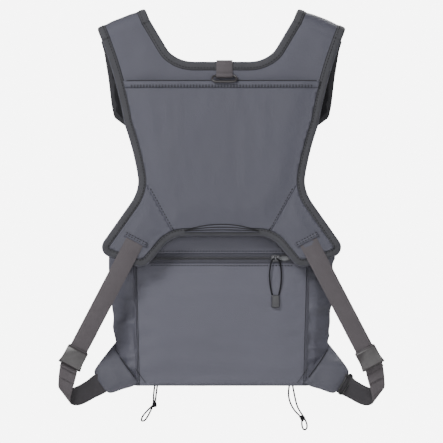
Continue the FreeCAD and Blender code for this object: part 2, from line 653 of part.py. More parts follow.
def front_pocket_parts():
    wall = PACK_WALL
    far = PACK_FRONT + FRONT_POCKET_DEPTH
    pocket = box(-POCKET_HALF, POCKET_HALF, PACK_FRONT, far, FRONT_POCKET_BOTTOM, FRONT_POCKET_TOP)
    pocket = pocket.cut(box(-POCKET_HALF + wall, POCKET_HALF - wall, PACK_FRONT, far - wall,
                            FRONT_POCKET_BOTTOM + wall, FRONT_POCKET_TOP))
    half = POCKET_HALF + FLAP_OVERHANG
    low = FRONT_POCKET_TOP + SEAT
    near = PACK_FRONT + SEAT
    edge = far + SEAT
    flap = box(-half, half, near, edge + FLAP_THICK, low, low + FLAP_THICK)
    flap = flap.fuse(box(-half, half, edge, edge + FLAP_THICK, low - FLAP_DROP, low))
    return {"front_pocket": pocket, "pocket_flap": flap.removeSplitter()}


def slider():
    """A zip slider on a tape whose face is y = 0, with its pull's bridge towards -Y."""
    plate_y = -SLIDER_GAP
    half_x = SLIDER_LENGTH / 2
    half_z = SLIDER_WIDTH / 2
    body = box(-half_x, half_x, plate_y - SLIDER_PLATE, plate_y, -half_z, half_z)
    inner_y = PACK_WALL + SLIDER_GAP
    body = body.fuse(box(-half_x, half_x, inner_y, inner_y + SLIDER_PLATE, -half_z, half_z))
    body = body.fuse(box(-SLIDER_POST, SLIDER_POST, plate_y, inner_y, -SLIDER_POST / 2, SLIDER_POST / 2))
    arch_y = plate_y - SLIDER_PLATE
    hole = BRIDGE_HOLE / 2
    arch = box(-BRIDGE_WIDTH / 2, BRIDGE_WIDTH / 2, arch_y - BRIDGE_HOLE - BRIDGE_BAR, arch_y,
               -hole - BRIDGE_BAR, hole + BRIDGE_BAR)
    arch = arch.cut(box(-FAR, FAR, arch_y - BRIDGE_HOLE, arch_y, -hole, hole))
    return body.fuse(arch).removeSplitter()


def pull_axis_y():
    return -SLIDER_GAP - SLIDER_PLATE - BRIDGE_HOLE / 2


def tube(points, diameter, name):
    """A round cord: straight runs joined by arcs as large as their runs allow."""
    places = [Vector(*p) for p in points]
    edges = []
    radii = []
    start = places[0]
    for before, corner, after in zip(places, places[1:], places[2:]):
        into = corner - before
        out = after - corner
        turn = into.getAngle(out)
        shorter = min(into.Length, out.Length)
        cut = CORD_BEND_SHARE * shorter
        radii.append(cut / math.tan(turn / 2))
        into.normalize()
        out.normalize()
        first = corner - into * cut
        last = corner + out * cut
        inward = (out - into).normalize()
        reach = radii[-1] / math.cos(turn / 2) - radii[-1]
        edges.append(Part.LineSegment(start, first).toShape())
        edges.append(Part.Arc(first, corner + inward * reach, last).toShape())
        start = last
    edges.append(Part.LineSegment(start, places[-1]).toShape())
    path = Part.Wire(edges)
    section = Part.Wire(Part.makeCircle(diameter / 2, places[0], places[1] - places[0]))
    solid = path.makePipeShell([section], True, True)
    wanted = math.pi * (diameter / 2) ** 2 * path.Length
    print(name, "length", round(path.Length, 1), "tightest", round(min(radii), 2),
          "volume ratio", round(solid.Volume / wanted, 4))
    return solid


def ellipsoid(centre, size):
    ball = Part.makeSphere(1.0)
    matrix = FreeCAD.Matrix()
    matrix.scale(size[0], size[1], size[2])
    ball = ball.transformGeometry(matrix)
    ball.translate(Vector(*centre))
    return ball


def cord_parts():
    return {
        "draw_cord_right": tube(CORD_RIGHT, CORD, "draw_cord_right"),
        "draw_cord_left": tube(CORD_LEFT, CORD, "draw_cord_left"),
        "cord_knot_right": ellipsoid(KNOT_RIGHT, KNOT_SIZE),
        "cord_knot_left": ellipsoid(KNOT_LEFT, KNOT_SIZE),
    }


def zip_parts():
    parts = {}
    back = slider()
    back.translate(Vector(BACK_SLIDER_X, PACK_BACK, ZIP_Z))
    parts["back_zip_slider"] = back
    axis_y = PACK_BACK + pull_axis_y()
    right = [(BACK_SLIDER_X + x, axis_y, ZIP_Z + z) for x, z in PULL_LOOP]
    left = [(BACK_SLIDER_X - x, axis_y, ZIP_Z + z) for x, z in reversed(PULL_LOOP)]
    parts["back_pull_cord"] = tube(right + left, PULL_CORD, "back_pull_cord")
    grip = box(BACK_SLIDER_X - GRIP_WIDTH / 2, BACK_SLIDER_X + GRIP_WIDTH / 2,
               axis_y - GRIP_THICK / 2, axis_y + GRIP_THICK / 2, GRIP_LOW, ZIP_Z + PULL_LOOP[0][1])
    corners = [edge for edge in grip.Edges if abs(edge.tangentAt(edge.FirstParameter).y) > 0.9]
    parts["back_pull_grip"] = grip.makeFillet(GRIP_ROUND, corners)

    middle = (PACK_BACK + PACK_FRONT) / 2
    top = slider()
    top.rotate(Vector(0, 0, 0), Vector(1, 0, 0), -90)
    top.translate(Vector(MAIN_SLIDER_X, middle, PACK_TOP))
    parts["main_zip_slider"] = top
    axis_z = PACK_TOP - pull_axis_y()
    wire = PULL_WIRE
    arm = BRIDGE_WIDTH / 2 + PULL_CLEARANCE
    pull = cylinder_x(wire / 2, MAIN_SLIDER_X - arm - wire, MAIN_SLIDER_X + arm + wire, middle, axis_z)
    for x0 in (MAIN_SLIDER_X - arm - wire, MAIN_SLIDER_X + arm):
        pull = pull.fuse(box(x0, x0 + wire, middle, middle + PULL_FORK, axis_z - wire / 2, axis_z + wire / 2))
    tab = box(MAIN_SLIDER_X - arm - wire, MAIN_SLIDER_X + arm + wire, middle + PULL_FORK - PULL_CLEARANCE,
              middle + PULL_LENGTH, axis_z - wire / 2, axis_z + wire / 2)
    parts["main_zip_pull"] = pull.fuse(tab).removeSplitter()
    return parts


def main():
    parts = {}
    for group in (yoke_parts, neck_parts, strap_parts, pad_parts, pack_parts, front_pocket_parts,
                  zip_parts, cord_parts):
        parts.update(group())
    os.makedirs("parts", exist_ok=True)
    for name, shape in parts.items():
        shape.exportStep("parts/" + name + ".step")
    print(len(parts), "nodes")


main()
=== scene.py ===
import bmesh
import bpy
import json
import math
from mathutils import Matrix, Vector, kdtree, noise


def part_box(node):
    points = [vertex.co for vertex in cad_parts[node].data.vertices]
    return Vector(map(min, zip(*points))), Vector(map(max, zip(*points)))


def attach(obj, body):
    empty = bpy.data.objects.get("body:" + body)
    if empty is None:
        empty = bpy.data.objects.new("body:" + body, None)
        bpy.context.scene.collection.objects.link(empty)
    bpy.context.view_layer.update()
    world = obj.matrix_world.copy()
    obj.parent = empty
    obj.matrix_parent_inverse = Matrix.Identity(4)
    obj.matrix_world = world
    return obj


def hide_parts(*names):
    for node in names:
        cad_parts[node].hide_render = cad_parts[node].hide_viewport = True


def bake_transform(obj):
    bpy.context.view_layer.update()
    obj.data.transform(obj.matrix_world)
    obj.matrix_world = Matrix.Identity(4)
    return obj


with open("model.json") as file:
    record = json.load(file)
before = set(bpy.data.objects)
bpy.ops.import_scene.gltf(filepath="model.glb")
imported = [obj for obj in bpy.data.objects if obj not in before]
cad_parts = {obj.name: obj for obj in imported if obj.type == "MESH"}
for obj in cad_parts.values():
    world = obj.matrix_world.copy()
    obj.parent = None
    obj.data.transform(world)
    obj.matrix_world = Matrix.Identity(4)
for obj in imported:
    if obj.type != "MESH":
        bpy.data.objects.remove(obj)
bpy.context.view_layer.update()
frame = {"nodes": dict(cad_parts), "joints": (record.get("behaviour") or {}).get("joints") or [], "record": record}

MM = 0.001
TO_BACK = Vector((0, -1, 0))
TO_FRONT = Vector((0, 1, 0))
UP = Vector((0, 0, 1))
TO_RIGHT = Vector((1, 0, 0))
SIDES = ((1, "right"), (-1, "left"))


# ---------------------------------------------------------------- camera and light

def add_camera():
    distance = 2.4
    seen_width = 0.6025
    height = -0.2173
    data = bpy.data.cameras.new("camera")
    data.sensor_width = 36.0
    data.lens = data.sensor_width * distance / seen_width
    camera = bpy.data.objects.new("camera", data)
    camera.location = (0, -distance, height)
    camera.rotation_euler = (math.radians(90), 0, 0)
    bpy.context.scene.collection.objects.link(camera)
    bpy.context.scene.camera = camera


def add_lamp(name, place, aim, size, watts):
    data = bpy.data.lights.new(name, "AREA")
    data.shape = "SQUARE"
    data.size = size
    data.energy = watts
    lamp = bpy.data.objects.new(name, data)
    lamp.location = place
    look = Vector(aim) - Vector(place)
    lamp.rotation_euler = look.to_track_quat("-Z", "Y").to_euler()
    bpy.context.scene.collection.objects.link(lamp)


def add_studio():
    middle = (0, 0, -0.2)
    add_lamp("key", (-1.2, -1.6, 1.2), middle, 0.8, 72)
    add_lamp("fill", (1.2, -2.0, 0.1), middle, 1.2, 12)
    add_lamp("front_lamp", (0.7, 1.7, 1.1), middle, 1.2, 46)
    world = bpy.data.worlds.new("studio")
    world.use_nodes = True
    tree = world.node_tree
    sky = tree.nodes["Background"]
    sky.inputs["Color"].default_value = (1, 1, 1, 1)
    where = tree.nodes.new("ShaderNodeTexCoord")
    parts = tree.nodes.new("ShaderNodeSeparateXYZ")
    tree.links.new(where.outputs["Generated"], parts.inputs[0])
    facing = tree.nodes.new("ShaderNodeMath")
    facing.operation = "ABSOLUTE"
    tree.links.new(parts.outputs[1], facing.inputs[0])
    sweep_light = tree.nodes.new("ShaderNodeMapRange")
    sweep_light.interpolation_type = "SMOOTHSTEP"
    around, backdrop = 0.36, 7.0
    for name, value in (("From Min", 0.955), ("From Max", 0.985), ("To Min", around), ("To Max", backdrop)):
        sweep_light.inputs[name].default_value = value
    tree.links.new(facing.outputs[0], sweep_light.inputs["Value"])
    tree.links.new(sweep_light.outputs["Result"], sky.inputs["Strength"])
    bpy.context.scene.world = world


def add_floor():
    floor_z = -1.25
    half_size = 4.0
    bm = bmesh.new()
    bmesh.ops.create_grid(bm, x_segments=1, y_segments=1, size=half_size)
    bmesh.ops.translate(bm, verts=bm.verts, vec=(0, 0.1, floor_z))
    mesh = bpy.data.meshes.new("floor")
    bm.to_mesh(mesh)
    bm.free()
    floor = bpy.data.objects.new("floor", mesh)
    bpy.context.scene.collection.objects.link(floor)
    paint = Paint("floor_paint")
    paint.fixed(Base_Color=(0.86, 0.86, 0.86, 1), Roughness=0.7)
    mesh.materials.append(paint.material)


# ---------------------------------------------------------------- finishes

class Signal:
    """A shader socket that can be used in sums."""

    def __init__(self, paint, socket):
        self.paint = paint
        self.socket = socket

    def _math(self, operation, a, b=0.0):
        return self.paint.node("ShaderNodeMath", {"operation": operation}, {0: a, 1: b})

    def __add__(self, other):
        return self._math("ADD", self, other)

    def __radd__(self, other):
        return self._math("ADD", other, self)

    def __sub__(self, other):
        return self._math("SUBTRACT", self, other)

    def __rsub__(self, other):
        return self._math("SUBTRACT", other, self)

    def __mul__(self, other):
        return self._math("MULTIPLY", self, other)

    def __rmul__(self, other):
        return self._math("MULTIPLY", other, self)

    def sine(self):
        return self._math("SINE", self)

    def size(self):
        return self._math("ABSOLUTE", self)

    def at_most(self, other):
        return self._math("MINIMUM", self, other)

    def at_least(self, other):
        return self._math("MAXIMUM", self, other)


class Paint:
    """A material with one Principled shader, and the nodes that feed it."""

    def __init__(self, name):
        self.material = bpy.data.materials.new(name)
        self.material.use_nodes = True
        self.tree = self.material.node_tree
        self.shader = self.tree.nodes["Principled BSDF"]

    def node(self, kind, settings=(), inputs=(), output=0):
        made = self.tree.nodes.new(kind)
        for key, value in dict(settings).items():
            setattr(made, key, value)
        for key, value in dict(inputs).items():
            if isinstance(value, Signal):
                self.tree.links.new(value.socket, made.inputs[key])
            else:
                made.inputs[key].default_value = value
        return Signal(self, made.outputs[output])

    def place(self):
        """Object coordinates as three numbers, in metres."""
        where = self.node("ShaderNodeTexCoord", output="Object")
        parts = self.tree.nodes.new("ShaderNodeSeparateXYZ")
        self.tree.links.new(where.socket, parts.inputs[0])
        return where, [Signal(self, parts.outputs[i]) for i in range(3)]

    def along(self):
        """The piece's own map: metres along it, and metres across it."""
        where = self.node("ShaderNodeUVMap", {"uv_map": "along"})
        parts = self.tree.nodes.new("ShaderNodeSeparateXYZ")
        self.tree.links.new(where.socket, parts.inputs[0])
        return Signal(self, parts.outputs[0]), Signal(self, parts.outputs[1])

    def noise(self, where, scale, detail=3.0, roughness=0.55):
        inputs = {"Vector": where, "Scale": scale, "Detail": detail, "Roughness": roughness}
        return self.node("ShaderNodeTexNoise", {}, inputs)

    def mix(self, factor, low, high):
        return self.node("ShaderNodeMix", {"data_type": "RGBA"}, {0: factor, 6: low, 7: high}, output=2)

    def feed(self, name, signal):
        self.tree.links.new(signal.socket, self.shader.inputs[name])

    def fixed(self, **values):
        for name, value in values.items():
            self.shader.inputs[name.replace("_", " ")].default_value = value

    def bump(self, height, distance):
        self.feed("Normal", self.node("ShaderNodeBump", {}, {"Height": height, "Distance": distance}))


def shade(colour, factor):
    return (colour[0] * factor, colour[1] * factor, colour[2] * factor, 1)


def woven_fabric(name, colour, pitch=0.0007, depth=0.00012, rough=0.6, sheen=0.05):
    """Plain-weave coated cloth: crossing threads, soft blotches and a faint sheen."""
    paint = Paint(name)
    where, (x, y, z) = paint.place()
    turns = 2 * math.pi / pitch
    warp = ((x + y) * turns).sine()
    weft = ((z + y) * turns).sine()
    weave = warp * weft
    blotch = paint.noise(where, 18.0, 4.0)
    fine = paint.noise(where, 900.0, 2.0)
    tone = blotch * 0.7 + fine * 0.3 + weave * 0.06
    paint.feed("Base Color", paint.mix(tone, shade(colour, 0.86), shade(colour, 1.13)))
    paint.feed("Roughness", rough - 0.10 + blotch * 0.2)
    paint.fixed(Sheen_Weight=sheen, Sheen_Roughness=0.45)
    paint.bump(weave * 0.5 + fine * 0.8 + blotch * 1.5, depth)
    return paint.material


def ribbed_tape(name, colour, pitch, depth, rough=0.75):
    """Narrow woven tape or webbing, its ribs running across it."""
    paint = Paint(name)
    along, across = paint.along()
    where, _ = paint.place()
    rib = (along * (2 * math.pi / pitch)).sine()
    thread = (across * (2 * math.pi / (pitch * 0.8))).sine()
    fuzz = paint.noise(where, 700.0, 3.0)
    blotch = paint.noise(where, 30.0, 3.0)
    tone = blotch * 0.45 + fuzz * 0.35 + rib * 0.08 + thread * 0.05
    paint.feed("Base Color", paint.mix(tone, shade(colour, 0.72), shade(colour, 1.2)))
    paint.feed("Roughness", rough - 0.08 + fuzz * 0.16)
    paint.fixed(Sheen_Weight=0.04, Specular_IOR_Level=0.3)
    paint.bump(rib * 0.6 + thread * 0.35 * rib.size() + fuzz * 0.7, depth)
    return paint.material


def spacer_mesh(name, colour, pitch=0.0042):
    """Knitted spacer mesh: rows of small dark holes in a matt knit."""
    paint = Paint(name)
    where, (x, y, z) = paint.place()
    turns = 2 * math.pi / pitch
    holes = ((x + y) * turns).sine() * ((z + y) * turns).sine()
    open_part = (holes.size() - 0.35).at_least(0.0).at_most(0.3) * 3.3
    fuzz = paint.noise(where, 800.0, 2.0)
    tone = open_part * 0.8 + fuzz * 0.2
    paint.feed("Base Color", paint.mix(tone, shade(colour, 1.5), shade(colour, 0.5)))
    paint.feed("Roughness", 0.75 + fuzz * 0.2)
    paint.fixed(Specular_IOR_Level=0.25)
    paint.bump(fuzz * 0.5 - open_part, 0.0005)
    return paint.material


def moulded(name, colour, rough=0.42, grain_scale=1400.0, metal=0.0):
    """Moulded plastic or painted metal with a fine spark-eroded grain."""
    paint = Paint(name)
    where, _ = paint.place()
    grain = paint.noise(where, grain_scale, 2.0)
    wear = paint.noise(where, 90.0, 3.0)
    paint.feed("Base Color", paint.mix(wear, shade(colour, 0.85), shade(colour, 1.15)))
    paint.feed("Roughness", rough - 0.08 + wear * 0.16)
    paint.fixed(Metallic=metal)
    paint.bump(grain, 0.00006)
    return paint.material


def braided(name, colour, pitch=0.0016):
    """Braided elastic: crossing slanted strands round the cord."""
    paint = Paint(name)
    where, (x, _, z) = paint.place()
    turns = 2 * math.pi / pitch
    braid = ((x + z) * turns).sine() * ((z - x) * turns).sine()
    fuzz = paint.noise(where, 900.0, 2.0)
    tone = braid * 0.35 + fuzz * 0.6
    paint.feed("Base Color", paint.mix(tone, shade(colour, 0.8), shade(colour, 1.3)))
    paint.feed("Roughness", 0.6 + fuzz * 0.25)
    paint.fixed(Specular_IOR_Level=0.12)
    paint.bump(braid + fuzz * 0.4, 0.0002)
    return paint.material


YOKE_BLUE = (0.0412, 0.0415, 0.0585)
PACK_BLUE = (0.0570, 0.0570, 0.0775)
TAPE_GREY = (0.0390, 0.0392, 0.0450)
STRAP_GREY = (0.0640, 0.0560, 0.0615)

FINISH = {
    "coated_fabric": woven_fabric("coated_fabric", YOKE_BLUE),
    "pack_fabric": woven_fabric("pack_fabric", PACK_BLUE, rough=0.56),
    "lining_fabric": woven_fabric("lining_fabric", (0.22, 0.225, 0.24), pitch=0.0005, rough=0.5),
    "binding_tape": ribbed_tape("binding_tape", TAPE_GREY, 0.0011, 0.00016),
    "zip_tape": ribbed_tape("zip_tape", (0.045, 0.045, 0.058), 0.0009, 0.00014),
    "webbing": ribbed_tape("webbing", STRAP_GREY, 0.0016, 0.00022, rough=0.62),
    # a darker copy of the webbing: painted shade on the side straps' return legs
    "webbing_painted_shade": ribbed_tape("webbing_painted_shade", (0.029, 0.0265, 0.0305), 0.0016, 0.00022, rough=0.62),
    # dark thread for stitches and cords; also the finish of the painted shadow lines along tape edges and the
    # pocket mouth
    "thread": ribbed_tape("thread", (0.007, 0.007, 0.009), 0.0006, 0.0001),
    # a darker copy of the pack fabric: painted shade on the tabs at the pack's lower corners
    "wing_fabric_painted_shade": woven_fabric("wing_fabric_painted_shade", shade(PACK_BLUE, 0.76)[:3], rough=0.56),
    # a darker copy of the pack fabric: painted shade on the pack's side walls and front piping
    "gusset_fabric_painted_shade": woven_fabric("gusset_fabric_painted_shade", shade(PACK_BLUE, 0.86)[:3], rough=0.56),
    "dark_tape": ribbed_tape("dark_tape", (0.020, 0.020, 0.024), 0.0011, 0.00016),
    "black_plastic": moulded("black_plastic", (0.005, 0.005, 0.006), rough=0.5),
    "spacer_mesh": spacer_mesh("spacer_mesh", (0.0055, 0.0056, 0.0075)),
    "buckle_plastic": moulded("buckle_plastic", (0.0200, 0.0172, 0.0185)),
    "slider_metal": moulded("slider_metal", (0.035, 0.035, 0.04), rough=0.35, metal=0.3),
    "grip_plastic": moulded("grip_plastic", (0.016, 0.016, 0.020), rough=0.5),
    "elastic_cord": braided("elastic_cord", (0.010, 0.010, 0.012)),
    "foam": moulded("foam", (0.05, 0.05, 0.055), rough=0.9, grain_scale=400.0),
}

# ---------------------------------------------------------------- pieces

SAME_PLACE = 1e-6


def add_piece(name, bm, finish, body, nodes=(), wall=0.0):
    """Puts a finished shape into the scene, on its body and in place of its CAD nodes."""
    mesh = bpy.data.meshes.new(name)
    bm.to_mesh(mesh)
    bm.free()
    mesh.materials.append(FINISH[finish])
    mesh.shade_smooth()
    piece = bpy.data.objects.new(name, mesh)
    bpy.context.scene.collection.objects.link(piece)
    if wall:
        thick = piece.modifiers.new("wall", "SOLIDIFY")
        thick.thickness = wall
        thick.offset = -1
        thick.use_rim = True
    if isinstance(body, str):
        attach(piece, body)
    else:
        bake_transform(piece)
    if nodes:
        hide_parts(*nodes)
    return piece


def cad_shape(node):
    """A CAD node's surface with its loose triangles merged into whole faces."""
    bm = bmesh.new()
    bm.from_mesh(frame["nodes"][node].data)
    bmesh.ops.remove_doubles(bm, verts=bm.verts, dist=SAME_PLACE)
    bmesh.ops.dissolve_limit(bm, angle_limit=math.radians(0.8), verts=bm.verts, edges=bm.edges)
    return bm


def keep_facing(bm, direction, least=0.9):
    gone = [face for face in bm.faces if face.normal.dot(direction) < least]
    bmesh.ops.delete(bm, geom=gone, context="FACES")


def cut_grid(bm, step):
    """Cuts a panel into cells so that its cloth can bend."""
    for axis in range(3):
        places = [v.co[axis] for v in bm.verts]
        low, high = min(places), max(places)
        count = int((high - low) / step)
        normal = Vector((0, 0, 0))
        normal[axis] = 1.0
        for i in range(1, count + 1):
            spot = normal * (low + (high - low) * i / (count + 1))
            geom = bm.verts[:] + bm.edges[:] + bm.faces[:]
            bmesh.ops.bisect_plane(bm, geom=geom, dist=SAME_PLACE, plane_co=spot, plane_no=normal)


def ease(t):
    t = min(1.0, max(0.0, t))
    return t * t * (3 - 2 * t)


def border_distance(bm, counts=lambda co: True):
    """A function that gives how far a point is from the panel's border."""
    border = [v.co.copy() for v in bm.verts if v.is_boundary and counts(v.co)]
    tree = kdtree.KDTree(len(border))
    for i, co in enumerate(border):
        tree.insert(co, i)
    tree.balance()
    return lambda co: tree.find(co)[2]


def ripple(co, size, seed, stretch=(1, 1, 1)):
    """Soft folds: smooth noise with its own stretch along each axis."""
    spot = Vector((co.x * stretch[0], co.y * stretch[1], co.z * stretch[2])) / size
    return noise.noise(spot + Vector((seed, 2.3 * seed, 0.7 * seed)))


def crease(co, size, seed, stretch=(1, 1, 1)):
    """Sharper folds, with ridges that meet in soft valleys."""
    return 1.0 - 2.0 * min(1.0, abs(ripple(co, size, seed, stretch)) * 2.2)


def cloth_panel(node, direction, step=0.005):
    bm = cad_shape(node)
    keep_facing(bm, direction)
    cut_grid(bm, step)
    return bm


def sharp_edges(bm, degrees):
    return [e for e in bm.edges if e.is_manifold and e.calc_face_angle(0) > math.radians(degrees)]


def round_edges(bm, edges, radius, segments):
    bmesh.ops.bevel(bm, geom=edges, offset=radius, offset_type="OFFSET", segments=segments, profile=0.5,
                    affect="EDGES", material=-1, clamp_overlap=True)


def split_wide_faces(bm):
    bmesh.ops.triangulate(bm, faces=[f for f in bm.faces if len(f.verts) > 4])


def fill_open_ends(bm):
    bmesh.ops.holes_fill(bm, edges=[e for e in bm.edges if e.is_boundary], sides=0)


def keep_below(bm, place, way):
    """Cuts off what lies past a plane and closes the cut."""
    geom = bm.verts[:] + bm.edges[:] + bm.faces[:]
    bmesh.ops.bisect_plane(bm, geom=geom, plane_co=place, plane_no=way, clear_outer=True, dist=SAME_PLACE)
    fill_open_ends(bm)


def joined(shapes):
    """Several shapes as one."""
    bm = bmesh.new()
    for shape in shapes:
        spare = bpy.data.meshes.new("spare")
        shape.to_mesh(spare)
        shape.free()
        bm.from_mesh(spare)
        bpy.data.meshes.remove(spare)
    return bm


def round_section(radius, points, across=0.0, out=0.0):
    """A round section of (across, out) points."""
    turns = [2 * math.pi * i / points for i in range(points)]
    return [(across + radius * math.cos(a), out + radius * math.sin(a)) for a in turns]


def soft_copy(name, node, finish, body, bevel=0.0004, segments=2):
    """A moulded or sewn part as the CAD has it, with its edges rounded."""
    return rounded_piece(name, cad_shape(node), finish, body, [node], bevel, segments)


def rounded_piece(name, bm, finish, body, nodes, bevel, segments):
    round_edges(bm, sharp_edges(bm, 25), bevel, segments)
    split_wide_faces(bm)
    piece = add_piece(name, bm, finish, body, nodes)
    piece.data.set_sharp_from_angle(angle=math.radians(40))
    return piece


def sweep(profile, frames):
    """Draws a closed section of (across, out) points through frames of (place, across, out)."""
    bm = bmesh.new()
    uv = bm.loops.layers.uv.new("along")
    row = in_order(bmesh.ops.create_circle(bm, cap_ends=False, segments=len(profile), radius=1.0)["verts"])
    for vert, (a, n) in zip(row, profile):
        vert.co = frames[0][0] + frames[0][1] * a + frames[0][2] * n
    edges = bm.edges[:]
    reach = [0.0]
    for here, there in zip(profile, profile[1:]):
        reach.append(reach[-1] + math.dist(here, there))
    travelled = 0.0
    for number in range(1, len(frames)):
        place, across, out = frames[number]
        step = (place - frames[number - 1][0]).length
        made = bmesh.ops.extrude_edge_only(bm, edges=edges)["geom"]
        fresh = {g for g in made if isinstance(g, bmesh.types.BMVert)}
        next_row = [next(e.other_vert(v) for e in v.link_edges if e.other_vert(v) in fresh) for v in row]
        for vert, (a, n) in zip(next_row, profile):
            vert.co = place + across * a + out * n
        old = {v: i for i, v in enumerate(row)}
        new = {v: i for i, v in enumerate(next_row)}
        for face in [g for g in made if isinstance(g, bmesh.types.BMFace)]:
            for loop in face.loops:
                if loop.vert in old:
                    loop[uv].uv = (travelled, reach[old[loop.vert]])
                else:
                    loop[uv].uv = (travelled + step, reach[new[loop.vert]])
        travelled += step
        row = next_row
        fresh_edges = [e for e in made if isinstance(e, bmesh.types.BMEdge)]
        edges = [e for e in fresh_edges if e.verts[0] in new and e.verts[1] in new]
    fill_open_ends(bm)
    bmesh.ops.recalc_face_normals(bm, faces=bm.faces)
    return bm


def in_order(ring):
    """The ring's points, one after the next."""
    line = [ring[0]]
    ahead = ring[0].link_edges[0].other_vert(ring[0])
    while ahead is not ring[0]:
        line.append(ahead)
        ahead = next(e.other_vert(ahead) for e in ahead.link_edges if e.other_vert(ahead) is not line[-2])
    return line


def resample(points, step, closed=False):
    """Points a fixed step apart along a line."""
    loop = list(points) + ([points[0]] if closed else [])
    lengths = [(b - a).length for a, b in zip(loop, loop[1:])]
    total = sum(lengths)
    count = max(2, round(total / step))
    made = []
    index, passed = 0, 0.0
    for i in range(count + (0 if closed else 1)):
        target = total * i / count
        while index < len(lengths) - 1 and passed + lengths[index] < target:
            passed += lengths[index]
            index += 1
        share = (target - passed) / lengths[index] if lengths[index] else 0.0
        made.append(loop[index].lerp(loop[index + 1], min(1.0, share)))
    return made


def stitches(name, line, body, width=0.0013, out=TO_BACK):
    """A row of sewing thread lying along a line on the cloth."""
    pitch = 0.0042
    length = 0.0027
    bm = bmesh.new()
    bm.loops.layers.uv.new("along")
    upright = Matrix.Rotation(math.radians(90), 4, "Y")
    scale = Matrix.Diagonal((length / 2, width / 2, width / 2, 1))
    spots = resample(line, pitch)
    for a, b in zip(spots, spots[1:]):
        run = (b - a).normalized()
        side = run.cross(out).normalized()
        turn = Matrix((run, side, run.cross(side))).transposed().to_4x4()
        place = Matrix.Translation((a + b) / 2) @ turn @ scale @ upright
        bmesh.ops.create_uvsphere(bm, u_segments=6, v_segments=4, radius=1.0, matrix=place)
    return add_piece(name, bm, "thread", body)


# ---------------------------------------------------------------- cords

ELASTIC = 0.0024
PULL_CORD = 0.002
DRAW_CORD_RIGHT = [(93.3, 28.7, -443.0), (91.6, 28.7, -452.0), (93.6, 28.7, -465.5), (100.5, 28.7, -478.0),
                   (110.8, 28.7, -487.5), (110.4, 28.9, -498.0), (112.8, 29.6, -504.3), (117.6, 30.4, -503.2),
                   (118.0, 31.1, -496.0), (113.0, 31.3, -486.0), (105.6, 31.3, -475.5), (101.6, 31.3, -463.0),
                   (98.0, 31.3, -443.0)]
DRAW_CORD_LEFT = [(-91.8, 28.7, -443.0), (-93.8, 28.7, -455.0), (-93.2, 28.7, -468.5), (-98.6, 28.7, -480.0),
                  (-105.0, 29.2, -491.5), (-110.8, 30.0, -492.3), (-109.4, 30.8, -486.0), (-101.0, 31.3, -476.5),
                  (-91.2, 31.3, -467.5), (-90.3, 31.3, -456.0), (-88.4, 31.3, -443.0)]
KNOT_RIGHT = Vector((0.1116, 0.030, -0.4880))
KNOT_LEFT = Vector((-0.0923, 0.030, -0.4700))
PULL_LOOP = [(4.6, -50.0), (6.6, -42.0), (8.4, -27.0), (7.6, -12.0), (4.5, 0.0)]


def cord_curve(name, points, diameter, node, body):
    data = bpy.data.curves.new(name, "CURVE")
    data.dimensions = "3D"
    data.bevel_depth = diameter / 2
    data.bevel_resolution = 4
    data.resolution_u = 10
    data.use_fill_caps = True
    spline = data.splines.new("NURBS")
    spline.points.add(len(points) - 1)
    for spot, place in zip(spline.points, points):
        spot.co = (place[0] * MM, place[1] * MM, place[2] * MM, 1)
    spline.order_u = 3
    spline.use_endpoint_u = True
    data.materials.append(FINISH["elastic_cord"])
    cord = bpy.data.objects.new(name, data)
    bpy.context.scene.collection.objects.link(cord)
    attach(cord, body)
    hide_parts(node)
    length = curve_length(cord)
    [c * MM for c in points[0]]
    return cord


def curve_length(cord):
    bare = cord.copy()
    bare.data = cord.data.copy()
    bare.data.bevel_depth = 0
    line = bpy.data.meshes.new_from_object(bare)
    places = [v.co for v in line.vertices]
    length = sum((places[e.vertices[0]] - places[e.vertices[1]]).length for e in line.edges)
    bpy.data.objects.remove(bare)
    bpy.data.meshes.remove(line)
    return length


def overhand_knot(name, centre, node, lean):
    """Three turns of the cord pulled tight round each other."""
    bm = bmesh.new()
    bm.loops.layers.uv.new("along")
    turns = ((-32, -0.0018), (6, 0.0), (40, 0.0019))
    for number, (tilt, shift) in enumerate(turns):
        ring = bmesh.ops.create_circle(bm, segments=10, radius=ELASTIC * 0.55)["verts"]
        upright = Matrix.Rotation(math.radians(90), 3, "X")
        bmesh.ops.rotate(bm, verts=ring, cent=(0, 0, 0), matrix=upright)
        bmesh.ops.translate(bm, verts=ring, vec=(ELASTIC * 1.05, 0, 0))
        edges = list(dict.fromkeys(edge for vert in ring for edge in vert.link_edges))
        before = set(bm.verts)
        bmesh.ops.spin(bm, geom=edges, cent=(0, 0, 0), axis=(0, 0, 1), angle=math.radians(360), steps=20,
                       use_merge=True, use_duplicate=False)
        turn = [v for v in bm.verts if v not in before] + [v for v in ring if v.is_valid]
        sway = Matrix.Rotation(math.radians(8 * number), 3, "X")
        lay = Matrix.Rotation(math.radians(lean + tilt), 3, "Y") @ sway
        bmesh.ops.rotate(bm, verts=turn, cent=(0, 0, 0), matrix=lay)
        drop = Matrix.Rotation(math.radians(lean), 3, "Y") @ Vector((0, 0, shift))
        bmesh.ops.translate(bm, verts=turn, vec=centre + drop)
    bmesh.ops.recalc_face_normals(bm, faces=bm.faces)
    return add_piece(name, bm, "elastic_cord", "chest_pack", [node])


